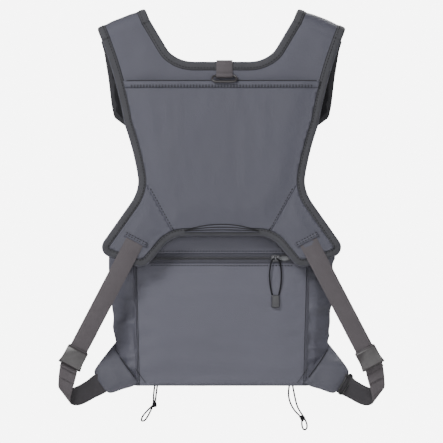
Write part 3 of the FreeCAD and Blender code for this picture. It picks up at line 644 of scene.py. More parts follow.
def add_cords():
    right_knot = overhand_knot("right_knot", KNOT_RIGHT, "cord_knot_right", -35)
    left_knot = overhand_knot("left_knot", KNOT_LEFT, "cord_knot_left", 30)
    cord_curve("right_draw_cord", DRAW_CORD_RIGHT, ELASTIC, "draw_cord_right", "chest_pack")
    cord_curve("left_draw_cord", DRAW_CORD_LEFT, ELASTIC, "draw_cord_left", "chest_pack")
    low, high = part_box("back_zip_slider")
    middle_x = (low[0] + high[0]) / 2 / MM
    low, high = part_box("back_pull_cord")
    axis_y = (low[1] + high[1]) / 2 / MM
    axis_z = high[2] / MM - PULL_CORD / 2 / MM
    route = [(middle_x + x, axis_y, axis_z + z) for x, z in PULL_LOOP]
    route += [(middle_x - x, axis_y, axis_z + z) for x, z in reversed(PULL_LOOP)]
    grip = soft_copy("pull_grip", "back_pull_grip", "grip_plastic", "back_pull", bevel=0.0012, segments=3)
    cord_curve("pull_loop", route, PULL_CORD, "back_pull_cord", "back_pull")


# ---------------------------------------------------------------- lines along the edges

TAPE_WIDTH = 0.011
YOKE_TAPE_HALF = 0.0036
PAD_TAPE_HALF = 0.0038
TAPE_STITCH = 0.0012


def walk_borders(bm):
    """The panel's borders as closed lists of points."""
    left = dict.fromkeys(e for e in bm.edges if e.is_boundary)
    lines = []
    while left:
        edge = left.popitem()[0]
        line = [edge.verts[0], edge.verts[1]]
        onward = [e for e in line[-1].link_edges if e in left]
        while onward:
            left.pop(onward[0])
            line.append(onward[0].other_vert(line[-1]))
            onward = [e for e in line[-1].link_edges if e in left]
        lines.append([v.co.copy() for v in line[:-1]])
    return lines


def outline(node, direction=TO_BACK):
    """The longest border of the side of a CAD panel that faces one way."""
    bm = cad_shape(node)
    keep_facing(bm, direction)
    lines = walk_borders(bm)
    bm.free()
    return max(lines, key=lambda line: sum((b - a).length for a, b in zip(line, line[1:] + line[:1])))


def between(loop, first, last, through):
    """The part of a loop from one corner to another that passes a point."""
    a, b = loop.index(first), loop.index(last)
    ahead = [loop[(a + i) % len(loop)] for i in range((b - a) % len(loop) + 1)]
    back = [loop[(a - i) % len(loop)] for i in range((a - b) % len(loop) + 1)]
    return min((ahead, back), key=lambda run: min((p - through).length for p in resample(run, 0.004)))


def is_inside(loop, point):
    crossings = 0
    for a, b in zip(loop, loop[1:] + loop[:1]):
        if (a.z > point.z) != (b.z > point.z):
            if point.x < a.x + (b.x - a.x) * (point.z - a.z) / (b.z - a.z):
                crossings += 1
    return crossings % 2 == 1


def edge_frames(path, loop, ease_corners=2):
    """Frames along an edge: the place, the way into the panel, and the way out of its face."""
    step = 0.003
    sharpest_mitre = 0.7
    spots = resample(path, step)
    for _ in range(ease_corners):
        eased = [(a + b * 2 + c) / 4 for a, b, c in zip(spots, spots[1:], spots[2:])]
        spots = [spots[0]] + eased + [spots[-1]]
    runs = [(b - a).normalized() for a, b in zip(spots, spots[1:])]
    middle = len(runs) // 2
    inward = runs[middle].cross(TO_BACK)
    side = 1.0 if is_inside(loop, spots[middle] + inward * 0.003) else -1.0
    frames = []
    for i, spot in enumerate(spots):
        before, after = runs[max(0, i - 1)], runs[min(i, len(runs) - 1)]
        run = (before + after).normalized()
        mitre = 1.0 / max(sharpest_mitre, before.dot(run))
        frames.append((spot, run.cross(TO_BACK).normalized() * side * mitre, TO_BACK))
    return frames


def offset_line(frames, across, outward):
    return [place + side * across + out * outward for place, side, out in frames]


def folded_tape(half):
    """The section of a tape folded over an edge: (across, out) points, all the way round."""
    width = TAPE_WIDTH
    past_edge = 0.0006
    front = [(width, half - 0.0002), (width - 0.0006, half + 0.0004), (width * 0.72, half + 0.0008),
             (width * 0.36, half + 0.0009), (0.0012, half + 0.0003), (0.0, half * 0.8), (-past_edge, half * 0.4)]
    return front + [(-past_edge - 0.0002, 0.0)] + [(a, -n) for a, n in reversed(front)]


def edge_shadow(name, frames, across, out, body):
    """A dark line of painted shadow where a tape's turned edge meets the cloth."""
    add_piece(name, sweep(round_section(0.00045, 6, across, out), frames), "thread", body)


def bind_edge(name, frames, body, node, half, seed, finish="binding_tape"):
    """Tape folded over an edge, with its row of stitches."""
    bm = sweep(folded_tape(half), frames)
    for v in bm.verts:
        v.co.y += 0.00035 * ripple(v.co, 0.007, seed)
    add_piece(name, bm, finish, body, [node])
    row = offset_line(frames, TAPE_WIDTH - 0.0030, half + 0.00105)
    stitches(name + "_stitches", row, body, width=TAPE_STITCH)
    # a dark line along the tape's inner edge: painted shadow
    edge_shadow(name + "_edge", frames, TAPE_WIDTH + 0.0001, half + 0.0001, body)


# ---------------------------------------------------------------- yoke

def yoke_corners(loop):
    inner_right = max((p for p in loop if p.x > 0), key=lambda p: p.z)
    inner_left = max((p for p in loop if p.x < 0), key=lambda p: p.z)
    outer_right = max((p for p in loop if p.x > 0), key=lambda p: p.x + p.z)
    outer_left = max((p for p in loop if p.x < 0), key=lambda p: p.z - p.x)
    return inner_left, inner_right, outer_left, outer_right


def on_shoulder_top(co):
    """Whether a point is on the slanted line where the yoke turns into its shoulders."""
    _, inner, _, outer = yoke_corners(outline_of("yoke_shell"))
    along = (outer - inner).normalized()
    spot = Vector((abs(co.x), co.y, co.z)) - inner
    reach = spot.dot(along)
    off_line = (spot - along * reach).length
    return off_line < 0.0005 and 0.002 < reach < (outer - inner).length - 0.002


KNOWN_OUTLINES = {}


def outline_of(node):
    if node not in KNOWN_OUTLINES:
        KNOWN_OUTLINES[node] = outline(node)
    return KNOWN_OUTLINES[node]


def build_yoke():
    bm = cloth_panel("yoke_shell", TO_BACK)
    distance = border_distance(bm, lambda co: not on_shoulder_top(co))
    pocket_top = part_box("stash_pocket_hem")[1][2]
    for v in bm.verts:
        soft = ease((distance(v.co) - 0.008) / 0.016) * ease((v.co.z - pocket_top + 0.006) / 0.02)
        folds = 0.0011 * ripple(v.co, 0.035, 4.0, (1, 1, 0.5)) * ease((0.04 - v.co.z) / 0.02)
        v.co.y -= soft * (0.0012 + folds)
    add_piece("yoke_fabric", bm, "coated_fabric", "back_yoke", ["yoke_shell", "yoke_foam"], wall=0.001)

    loop = outline("yoke_shell")
    inner_left, inner_right, outer_left, outer_right = yoke_corners(loop)
    bottom = min(loop, key=lambda p: p.z)
    to_middle = Vector((0, -loop[0].y, 0))
    flat = [p + to_middle for p in loop]
    neck = between(loop, inner_left, inner_right, Vector((0, loop[0].y, 0)))
    bind_edge("neck_tape", edge_frames([p + to_middle for p in neck], flat), "back_yoke", "neck_binding",
              YOKE_TAPE_HALF, seed=2.0)
    sides = between(loop, outer_left, outer_right, bottom)
    bind_edge("yoke_tape", edge_frames([p + to_middle for p in sides], flat), "back_yoke", "yoke_edge_binding",
              YOKE_TAPE_HALF, seed=5.0)

    lining = cloth_panel("yoke_mesh_lining", TO_FRONT, 0.006)
    distance = border_distance(lining)
    for v in lining.verts:
        d = distance(v.co)
        spine_channel = ease(abs(v.co.x) / 0.006)
        loft = 0.0026 * ease((d - 0.009) / 0.02) * spine_channel
        v.co.y += loft + 0.0003 * ripple(v.co, 0.03, 7.0) * ease(d / 0.01)
    add_piece("yoke_mesh", lining, "spacer_mesh", "back_yoke", ["yoke_mesh_lining"], wall=0.0008)


class PocketFace:
    """The stash pocket's outer face, sewn down at its sides and lower edge and lifted between them."""

    RISE = 0.0034

    def __init__(self):
        loop = outline("stash_pocket_panel")
        top = max(p.z for p in loop)
        self.seam = [p for p in resample(loop, 0.002, closed=True) if p.z < top - 0.002]
        self.tree = kdtree.KDTree(len(self.seam))
        for i, p in enumerate(self.seam):
            self.tree.insert(p, i)
        self.tree.balance()
        self.flat_y = loop[0].y
        self.sewn_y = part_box("yoke_side_panel_right")[0][1] - 0.0008

    def y(self, x, z):
        d = self.tree.find(Vector((x, self.flat_y, z)))[2]
        spot = Vector((x, 0, z))
        folds = 0.0009 * ripple(spot, 0.055, 11.0, (1, 1, 0.6))
        folds += 0.0005 * ripple(spot, 0.02, 3.0, (1.6, 1, 0.5))
        return self.sewn_y - self.RISE * ease(d / 0.03) + folds * ease(d / 0.02)

    def over(self, x, z, lift):
        return Vector((x, self.y(x, z) - lift, z))


def build_stash_pocket():
    face = PocketFace()
    bm = cloth_panel("stash_pocket_panel", TO_BACK, 0.004)
    for v in bm.verts:
        v.co.y = face.y(v.co.x, v.co.z)
    add_piece("stash_pocket", bm, "coated_fabric", "back_yoke", ["stash_pocket_panel"], wall=0.0008)
    build_hem(face)
    build_side_panels()
    add_slant_stitches(face)
    build_crescent()


def build_hem(face):
    low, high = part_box("stash_pocket_hem")
    bm = cloth_panel("stash_pocket_hem", TO_BACK, 0.003)
    for v in bm.verts:
        edge = min(v.co.z - low[2], high[2] - v.co.z)
        v.co.y = face.y(v.co.x, v.co.z) - 0.0006 - 0.0007 * ease(edge / 0.002)
    add_piece("pocket_hem", bm, "coated_fabric", "back_yoke", ["stash_pocket_hem"], wall=0.0009)
    # a dark line along the hem's top edge: painted shadow at the pocket's mouth
    mouth_shadow = [face.over(x * MM, high[2] + 0.0001, 0.0002) for x in range(-129, 130, 3)]
    thread_line("pocket_mouth_shadow", mouth_shadow, "back_yoke", 0.0007)
    for number, drop in enumerate((0.0062, 0.0084)):
        row = [face.over(x * MM, high[2] - drop, 0.0015) for x in range(-124, 125, 2)]
        stitches("hem_stitches_%d" % number, row, "back_yoke")


def build_side_panels():
    for sign, hand in SIDES:
        bm = cloth_panel("yoke_side_panel_" + hand, TO_BACK, 0.004)
        distance = border_distance(bm)
        for v in bm.verts:
            puff = 0.0016 + 0.0011 * ripple(v.co, 0.022, 8.0 * sign)
            v.co.y -= 0.0004 + ease((distance(v.co) - 0.004) / 0.014) * puff
        nodes = ["yoke_side_panel_" + hand]
        add_piece("side_panel_" + hand, bm, "coated_fabric", "back_yoke", nodes, wall=0.0008)


def add_slant_stitches(face):
    """Rows along the pocket's slanted seams, where they cross the side panels."""
    panel = outline("yoke_side_panel_right")
    slant = [p for p in face.seam if p.x > 0 and is_inside(panel, Vector((p.x + 0.004, 0, p.z - 0.001)))]
    slant.sort(key=lambda p: -p.z)
    for sign, hand in SIDES:
        row = [face.over(sign * (p.x - 0.0024), p.z + 0.0006, 0.0003) for p in slant]
        if len(row) > 3:
            stitches("slant_stitches_" + hand, row, "back_yoke")


def build_crescent():
    """The stitched crescent over the yoke's arch, with its three arched lines."""
    low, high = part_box("hem_crescent")
    face_y = -0.0062
    bm = cloth_panel("hem_crescent", TO_BACK, 0.0015)
    distance = border_distance(bm)
    for v in bm.verts:
        d = distance(v.co)
        bands = 0.00035 * math.sin(2 * math.pi * d / 0.0034)
        v.co.y = face_y - (0.0004 + bands) * ease(d / 0.0015)
    add_piece("crescent", bm, "coated_fabric", "back_yoke", ["hem_crescent"], wall=0.0016)
    half = high[0] - 0.001
    arches = ((0.0022, 0.0003), (0.0022, 0.0042), (0.0016, 0.0078))
    for number, (above_foot, below_crown) in enumerate(arches):
        foot_z, crown_z = low[2] + above_foot, high[2] - below_crown
        arch = []
        for i in range(41):
            t = i / 20 - 1
            arch.append(Vector((half * t, face_y - 0.0006, foot_z + (crown_z - foot_z) * (1 - t * t))))
        thread_line("crescent_line_%d" % number, arch, "back_yoke", 0.0006)


def thread_line(name, line, body, radius):
    """A dark swept line: a sewn-down cord, the dark turned edge beside a seam, and the painted shadow along the
    pocket's mouth.
    """
    span = line[-1] - line[0]
    across = TO_RIGHT if abs(span.z) > abs(span.x) else UP
    frames = [(p, across, TO_BACK) for p in line]
    return add_piece(name, sweep(round_section(radius, 8), frames), "thread", body)


# ---------------------------------------------------------------- shoulders and pads

SHOULDER_AXIS_Y = 0.014
SHOULDER_HALF_THICK = 0.0036


def shoulder_section(half):
    """A padded band's section: crowned on its outer face, flat on its inner one."""
    thick = SHOULDER_HALF_THICK
    crown = 0.0012
    profile = [(-half, 0.0), (-half + 0.001, thick * 0.8)]
    for t in (-0.9, -0.75, -0.6, -0.4, -0.2, 0.0, 0.2, 0.4, 0.6, 0.75, 0.9):
        profile.append((half * t, thick + crown * ease((half * (1 - abs(t)) - 0.008) / 0.016)))
    profile += [(half - 0.001, thick * 0.8), (half, 0.0), (half - 0.001, -thick * 0.8)]
    profile += [(half * t, -thick) for t in (0.9, 0.6, 0.3, 0.0, -0.3, -0.6, -0.9)]
    return profile + [(-half + 0.001, -thick * 0.8)]


def shoulder_frames(centre, along, rise, radius):
    """Up from the yoke, half a turn over the shoulder, and down onto the pad."""
    frames = [(centre - rise * 0.003 - TO_FRONT * radius, along, TO_BACK)]
    turns = 22
    for i in range(turns + 1):
        angle = math.pi * i / turns
        out = rise * math.sin(angle) - TO_FRONT * math.cos(angle)
        frames.append((centre + out * radius, along, out))
    for drop in (0.005, 0.010, 0.016):
        frames.append((centre - rise * drop + TO_FRONT * radius, along, TO_FRONT))
    return frames


def build_shoulders():
    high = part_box("pad_shell_right")[1]
    radius = high[1] - SHOULDER_AXIS_Y - 0.00345
    blend_half = 0.012
    _, inner, _, outer = yoke_corners(outline("yoke_shell"))
    for sign, hand in SIDES:
        a = Vector((sign * inner.x, SHOULDER_AXIS_Y, inner.z))
        b = Vector((sign * outer.x, SHOULDER_AXIS_Y, outer.z))
        along = (b - a).normalized()
        half = (b - a).length / 2
        rise = Vector((-along.z, 0, along.x)) * sign
        centre = (a + b) / 2 - rise * 0.0002
        frames = shoulder_frames(centre, along, rise, radius)
        bm = sweep(shoulder_section(half), frames)
        for v in bm.verts:
            v.co.z += 0.0006 * ripple(v.co, 0.02, 6.0 * sign)
        start = (centre.x, SHOULDER_AXIS_Y - blend_half, high[2])
        end = (centre.x, SHOULDER_AXIS_Y + blend_half, high[2])
        blend = ("back_yoke", "chest_pack", start, end)
        roll = add_piece("shoulder_" + hand, bm, "coated_fabric", blend, ["shoulder_roll_" + hand])
        roll.data.set_sharp_from_angle(angle=math.radians(50))
        for edge, name in ((-1, "inner"), (1, "outer")):
            rim = [(place + side * edge * half, side * -edge, out) for place, side, out in frames]
            tape = sweep(folded_tape(YOKE_TAPE_HALF), rim)
            add_piece("shoulder_tape_%s_%s" % (name, hand), tape, "binding_tape", blend)
            row = offset_line(rim, TAPE_WIDTH - 0.0030, YOKE_TAPE_HALF + 0.0010)
            stitches("shoulder_stitches_%s_%s" % (name, hand), row, blend, width=TAPE_STITCH)
            # a dark line along the tape's inner edge: painted shadow
            shadow_name = "shoulder_edge_shadow_%s_%s" % (name, hand)
            edge_shadow(shadow_name, rim, TAPE_WIDTH + 0.0001, YOKE_TAPE_HALF + 0.0002, blend)


def swelled(name, nodes, voxel, pressure, most, cut_place, cut_way):
    """Fills a sewn shell with padding: the cloth is blown up a little, then held."""
    shapes = [cad_shape(node) for node in nodes]
    for shape in shapes:
        keep_below(shape, cut_place, cut_way)
    bm = joined(shapes)
    mesh = bpy.data.meshes.new(name)
    bm.to_mesh(mesh)
    bm.free()
    pad = bpy.data.objects.new(name, mesh)
    bpy.context.scene.collection.objects.link(pad)
    remesh = pad.modifiers.new("voxels", "REMESH")
    remesh.mode = "VOXEL"
    remesh.voxel_size = voxel
    apply_modifiers(pad)
    rest = [v.co.copy() for v in pad.data.vertices]
    cloth = pad.modifiers.new("cloth", "CLOTH").settings
    cloth.use_pressure = True
    cloth.uniform_pressure_force = pressure
    cloth.effector_weights.gravity = 0
    cloth.mass = 0.3
    cloth.tension_stiffness = 20
    cloth.quality = 5
    scene = bpy.context.scene
    for number in range(1, 16):
        scene.frame_set(number)
    apply_modifiers(pad)
    scene.frame_set(1)
    for v, start in zip(pad.data.vertices, rest):
        moved = v.co - start
        if moved.length > most:
            v.co = start + moved.normalized() * most
    return pad


def apply_modifiers(piece):
    depsgraph = bpy.context.evaluated_depsgraph_get()
    final = bpy.data.meshes.new_from_object(piece.evaluated_get(depsgraph))
    piece.modifiers.clear()
    old = piece.data
    piece.data = final
    bpy.data.meshes.remove(old)


def build_pads():
    for sign, hand in SIDES:
        nodes = ["pad_mesh_" + hand, "pad_shell_" + hand]
        cut_place = Vector((sign * 0.13, 0.028, 0.046))
        cut_way = Vector((sign * 0.375, 0, 0.927))
        pad = swelled("chest_pad_" + hand, nodes, 0.0035, 4.0, 0.0022, cut_place, cut_way)
        mesh = pad.data
        mesh.materials.clear()
        mesh.materials.append(FINISH["coated_fabric"])
        mesh.materials.append(FINISH["spacer_mesh"])
        for face in mesh.polygons:
            face.material_index = 1 if face.normal.y < 0.15 else 0
        mesh.shade_smooth()
        fine = pad.modifiers.new("fine", "SUBSURF")
        fine.levels = 1
        fine.render_levels = 1
        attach(pad, "chest_pack")
        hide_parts("pad_mesh_" + hand, "pad_shell_" + hand)
        build_pad_binding(hand, sign)


def build_pad_binding(hand, sign):
    low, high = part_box("pad_binding_" + hand)
    mid_y = (low[1] + high[1]) / 2
    flat = [Vector((p.x, mid_y, p.z)) for p in outline("pad_binding_" + hand, TO_FRONT)]
    inner = max(flat, key=lambda p: p.z)
    outer = max(flat, key=lambda p: p.z + sign * p.x)
    bottom = min(flat, key=lambda p: p.z)
    frames = edge_frames(between(flat, inner, outer, bottom), flat, ease_corners=1)
    bind_edge("pad_tape_" + hand, frames, "chest_pack", "pad_binding_" + hand, PAD_TAPE_HALF, seed=9.0,
              finish="dark_tape")


# ---------------------------------------------------------------- webbing and buckles

WEBBING_WIDTH = 0.025
WEBBING_THICK = 0.0016
STRAP_SLOPE = math.radians(27.8)
FRONT_SLOPE = math.radians(-14.0)
RIBBON_ROWS = 6


def flat_map(bm, run, side):
    """Lays the piece's map along a strap: metres along it, metres across it."""
    uv = bm.loops.layers.uv.get("along") or bm.loops.layers.uv.new("along")
    for face in bm.faces:
        for loop in face.loops:
            co = loop.vert.co
            loop[uv].uv = (co.dot(run), co.dot(side))


def slope_ways(angle, sign):
    run = Vector((sign * math.sin(angle), 0, -math.cos(angle)))
    side = Vector((math.cos(angle), 0, sign * math.sin(angle)))
    return run, side


def webbing_piece(name, node, body, run, side, step=0.006, wave=0.0004):
    """A length of webbing as it lies, with rounded selvedges and a slight wave."""
    bm = cad_shape(node)
    round_edges(bm, sharp_edges(bm, 50), 0.0005, 2)
    places = [v.co.dot(run) for v in bm.verts]
    low, high = min(places), max(places)
    for i in range(1, int((high - low) / step)):
        geom = bm.verts[:] + bm.edges[:] + bm.faces[:]
        spot = run * (low + i * step)
        bmesh.ops.bisect_plane(bm, geom=geom, dist=SAME_PLACE, plane_co=spot, plane_no=run)
    flat_map(bm, run, side)
    for v in bm.verts:
        v.co.y += wave * ripple(Vector((v.co.x, 0, v.co.z)), 0.025, 2.0)
    split_wide_faces(bm)
    piece = add_piece(name, bm, "webbing", body, [node])
    piece.data.set_sharp_from_angle(angle=math.radians(50))
    return piece


def build_side_straps():
    for sign, hand in SIDES:
        run, side = slope_ways(STRAP_SLOPE, sign)
        adjuster = hand + "_adjuster"
        webbing_piece("upper_strap_" + hand, "upper_strap_" + hand, "back_yoke", run, side)
        webbing_piece("threaded_" + hand, "threaded_webbing_" + hand, adjuster, run, side, wave=0.0)
        ladder_lock("side_lock_" + hand, "side_adjuster_" + hand, adjuster, adjuster + "_tilt", run, side)
        lower_strap(hand, sign)
        strap_seat(hand, sign, run, side)
        build_front_strap(hand, sign)


def build_front_strap(hand, sign):
    """The strap from a front pad, through its buckle, to the bag."""
    run, side = slope_ways(FRONT_SLOPE, sign)
    buckle = hand + "_front_adjuster"
    strap = webbing_piece("front_strap_" + hand, "front_webbing_" + hand, "chest_pack", run, side)
    for v in strap.data.vertices:
        v.co.x += sign * 0.0045 * ease((v.co.z + 0.165) / 0.07)
    webbing_piece("front_threaded_" + hand, "front_threaded_webbing_" + hand, buckle, run, side, wave=0.0)
    node = "front_adjuster_" + hand
    soft_copy("front_lock_" + hand, node, "buckle_plastic", buckle, bevel=0.0005, segments=3)
    low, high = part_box("pack_strap_" + hand)
    middle = (Vector(low) + Vector(high)) / 2
    held = Vector((middle.x, middle.y, high[2] - 0.003))
    free = Vector((middle.x, middle.y, high[2] - 0.024))
    led = (buckle, "chest_pack", held, free)
    webbing_piece("pack_strap_" + hand, "pack_strap_" + hand, led, run, side, step=0.003)


def spline_through(stations, parts):
    """Smooth in-between values for a list of vector tuples."""
    rows = [stations[0]] + list(stations) + [stations[-1]]
    made = []
    for number in range(1, len(rows) - 2):
        p0, p1, p2, p3 = rows[number - 1], rows[number], rows[number + 1], rows[number + 2]
        for i in range(parts):
            t = i / parts
            made.append(tuple(0.5 * (2 * b + (c - a) * t + (2 * a - 5 * b + 4 * c - d) * t * t
                                     + (3 * b - a - 3 * c + d) * t ** 3)
                              for a, b, c, d in zip(p0, p1, p2, p3)))
    return made + [stations[-1]]


def ribbon(stations, thick, first=0, last=None):
    """Webbing whose selvedges pass through pairs of points, or the part of it between two rows."""
    rows = spline_through(stations, RIBBON_ROWS)
    frames = []
    for i, (near, far) in enumerate(rows):
        before, after = rows[max(0, i - 1)], rows[min(i + 1, len(rows) - 1)]
        run = ((after[0] + after[1]) - (before[0] + before[1])).normalized()
        across = (far - near) / WEBBING_WIDTH
        frames.append(((near + far) / 2, across, run.cross(across).normalized()))
    half = WEBBING_WIDTH / 2
    round_in, edge_share = 0.0005, 0.42
    face = (-0.8, -0.4, 0.0, 0.4, 0.8)
    section = [(-half, 0.0), (-half + round_in, thick * edge_share)]
    section += [(half * t, thick * 0.5) for t in face]
    section += [(half - round_in, thick * edge_share), (half, 0.0), (half - round_in, -thick * edge_share)]
    section += [(half * t, -thick * 0.5) for t in reversed(face)] + [(-half + round_in, -thick * edge_share)]
    return sweep(section, frames[first:last])


# pairs of points on the two selvedges of the right strap, in millimetres
LOWER_STRAP = [((195.4, 8.0, -412.0), (217.6, 8.0, -402.0)), ((197.0, 8.2, -422.0), (220.3, 8.2, -413.5)),
               ((199.2, 8.4, -432.0), (222.2, 8.6, -426.0)), ((203.0, 8.8, -446.0), (223.0, 9.8, -436.5)),
               ((205.8, 10.4, -458.0), (223.3, 12.0, -441.5)), ((205.6, 14.0, -467.0), (221.4, 15.8, -445.5)),
               ((198.0, 20.0, -469.8), (212.0, 16.4, -446.0)), ((188.4, 24.0, -467.4), (200.6, 16.0, -443.8)),
               ((174.0, 26.0, -459.8), (185.6, 16.6, -435.8)), ((161.0, 25.0, -453.4), (174.9, 18.4, -427.6)),
               ((150.0, 23.0, -446.0), (163.0, 20.4, -423.0))]
STRAP_TAIL = [((195.3, 5.2, -414.5), (217.4, 5.2, -403.0)), ((197.0, 6.0, -424.0), (219.7, 6.0, -414.0)),
              ((199.0, 6.4, -432.0), (221.2, 6.4, -422.5)), ((201.0, 6.5, -439.4), (221.4, 6.5, -428.6))]
BUCKLE_LED_STATIONS = 4


def mirrored(stations, sign):
    return [tuple(Vector((sign * x * MM, y * MM, z * MM)) for x, y, z in pair) for pair in stations]


def lower_strap(hand, sign):
    """The strap below the buckle: down, round its bend and back to the wing."""
    stations = mirrored(LOWER_STRAP, sign)
    split = BUCKLE_LED_STATIONS * RIBBON_ROWS
    adjuster = hand + "_adjuster"
    led = (adjuster, "back_yoke", (sign * 0.2065, 0.008, -0.408), (sign * 0.2125, 0.009, -0.438))
    add_piece("buckle_strap_" + hand, ribbon(stations, WEBBING_THICK, last=split + 1), "webbing", led)
    bend = ("back_yoke", "chest_pack", (sign * 0.2, 0.0095, -0.44), (sign * 0.2, 0.0180, -0.44))
    strap = add_piece("bottom_strap_" + hand, ribbon(stations, WEBBING_THICK, first=split), "webbing", bend,
                      ["lower_strap_" + hand, "wing_strap_" + hand])
    # the return leg's rear, downward faces take the darker webbing: painted shade, the same webbing seen in shadow
    strap.data.materials.append(FINISH["webbing_painted_shade"])
    for face in strap.data.polygons:
        in_painted_shade = face.center.y > 0.0145 and face.normal.y < 0.1
        face.material_index = 1 if in_painted_shade else 0
    tail = ribbon(mirrored(STRAP_TAIL, sign), WEBBING_THICK * 0.8)
    add_piece("strap_tail_" + hand, tail, "webbing", adjuster)


def joint_place(name):
    return Vector(next(j["pos_m"] for j in frame["joints"] if j["name"] == name))


# rows down the buckle's plate: along it, half its width, how far it lifts, half its thickness
LOCK_PLATE = [(-0.0022, 0.0146, -0.0006, 0.0007), (-0.0016, 0.0149, 0.0012, 0.0010),
              (0.0, 0.0150, 0.0022, 0.0011), (0.004, 0.0150, 0.0026, 0.0011),
              (0.010, 0.0151, 0.0027, 0.0011), (0.015, 0.0153, 0.0026, 0.0011),
              (0.019, 0.0158, 0.0024, 0.0011), (0.0218, 0.0163, 0.0026, 0.0011),
              (0.0236, 0.0166, 0.0034, 0.0010), (0.0250, 0.0167, 0.0050, 0.0009),
              (0.0258, 0.0166, 0.0062, 0.0006)]
LOCK_HALF_WIDTH = 0.015
LOCK_HALF_THICK = 0.0011


def plate_section():
    """The plate's section, with rounded ends."""
    corner = 0.0009
    inset = LOCK_HALF_WIDTH - corner
    section = []
    for middle, start in ((inset, 0), (-inset, 90), (-inset, 180), (inset, 270)):
        for k in range(4):
            angle = math.radians(start + 30 * k)
            section.append((middle + corner * math.cos(angle), LOCK_HALF_THICK * math.sin(angle)))
    return section


def ladder_lock(name, node, body, joint, run, side):
    """A moulded buckle: a smooth plate that flares into a lifted lip, over its bars and rails, with a dark bar of
    painted shadow where the strap goes in.
    """
    pivot = joint_place(joint)
    frames = []
    for along, half, lift, thick in LOCK_PLATE:
        place = pivot + run * along + TO_BACK * (lift + 0.0012)
        frames.append((place, side * (half / LOCK_HALF_WIDTH), TO_BACK * (thick / LOCK_HALF_THICK)))
    plate = sweep(plate_section(), frames)
    for v in plate.verts:
        reach = abs((v.co - pivot).dot(side)) / LOCK_HALF_WIDTH
        along = (v.co - pivot).dot(run)
        v.co -= run * 0.0012 * ease((along - 0.018) / 0.006) * reach ** 2
    # a black bar across the plate's top: painted shadow where the strap goes in under the plate
    middle = pivot - run * 0.0026
    slot = [(middle + side * t + TO_BACK * 0.0017, run, TO_BACK) for t in (-0.0135, 0.0, 0.0135)]
    slot_shadow_section = [(-0.0009, -0.0006), (-0.0009, 0.0004), (0.0009, 0.0004), (0.0009, -0.0006)]
    add_piece(name + "_slot", sweep(slot_shadow_section, slot), "black_plastic", body)
    face = add_piece(name + "_plate", plate, "buckle_plastic", body)
    face.data.set_sharp_from_angle(angle=math.radians(60))
    bars = cad_shape(node)
    keep_below(bars, pivot + run * 0.0225, run)
    rounded_piece(name + "_bars", bars, "buckle_plastic", body, [node], 0.0005, 2)


def strap_seat(hand, sign, run, side):
    """The welt that the strap comes out from, with two rows of stitches above it."""
    low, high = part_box("upper_strap_" + hand)
    corner_x = low[0] if sign > 0 else high[0]
    half = WEBBING_WIDTH / 2
    top_x = corner_x + sign * half * math.cos(STRAP_SLOPE)
    top = Vector((top_x, low[1] + 0.0002, high[2] - half * math.sin(STRAP_SLOPE)))
    half_length = 0.0165
    steps = 13
    frames = []
    for i in range(steps + 1):
        frames.append((top + side * (half_length * (2 * i / steps - 1)), run, TO_BACK))
    section = [(-0.0042, -0.0012), (-0.004, 0.0006), (-0.002, 0.0017), (0.0005, 0.002), (0.0022, 0.0013),
               (0.0026, 0.0), (0.0022, -0.0012)]
    add_piece("strap_welt_" + hand, sweep(section, frames), "coated_fabric", "back_yoke")
    for number, rise in enumerate((0.0008, 0.0034)):
        row = [place - run * rise + TO_BACK * (0.0021 - rise * 0.35) for place, _, _ in frames]
        stitches("welt_stitches_%d_%s" % (number, hand), row, "back_yoke")


# ---------------------------------------------------------------- pack

PACK_MIDDLE_Y = 0.055


def softened(co):
    """The pack's corners as cloth holds them: drawn in at its upright edges, and sagging lower down."""
    half_x, half_y = 0.151, 0.032
    floor_z, tall = -0.443, 0.217
    roundness = 7
    u = abs(co.x) / half_x
    v = max(0.0, co.y - PACK_MIDDLE_Y) / half_y
    r = (u ** roundness + v ** roundness) ** (1 / roundness)
    moved = Vector(co)
    if v > 0 and r > 1:
        moved.x /= 1 + (r - 1) * v
        moved.y = PACK_MIDDLE_Y + (co.y - PACK_MIDDLE_Y) / r
    height = min(1.0, max(0.0, (co.z - floor_z) / tall))
    sag = math.sin(math.pi * height ** 0.75)
    moved.y += 0.005 * sag * ease(v) * (1 - u ** 2 if u < 1 else 0)
    return moved


def pack_side(node, direction, least, bulge, fold, seed, stretch, reach=0.03, step=0.006, fold_size=0.035):
    """One side of the soft pack: crowned between its seams, with folds that die out at them."""
    bm = cad_shape(node)
    way = direction.normalized()
    keep_facing(bm, way, least)
    cut_grid(bm, step)
    distance = border_distance(bm)
    for v in bm.verts:
        d = distance(v.co)
        folds = 0.6 * ripple(v.co, fold_size, seed, stretch)
        folds += 0.4 * crease(v.co, fold_size * 0.8, seed + 3, stretch)
        v.co = softened(v.co + way * (bulge * ease(d / reach) + fold * folds * ease(d / (reach * 0.5))))
    return bm


def add_pack_side(name, node, direction, finish, **shape):
    add_piece(name, pack_side(node, direction, **shape), finish, "chest_pack", [node], wall=0.0012)


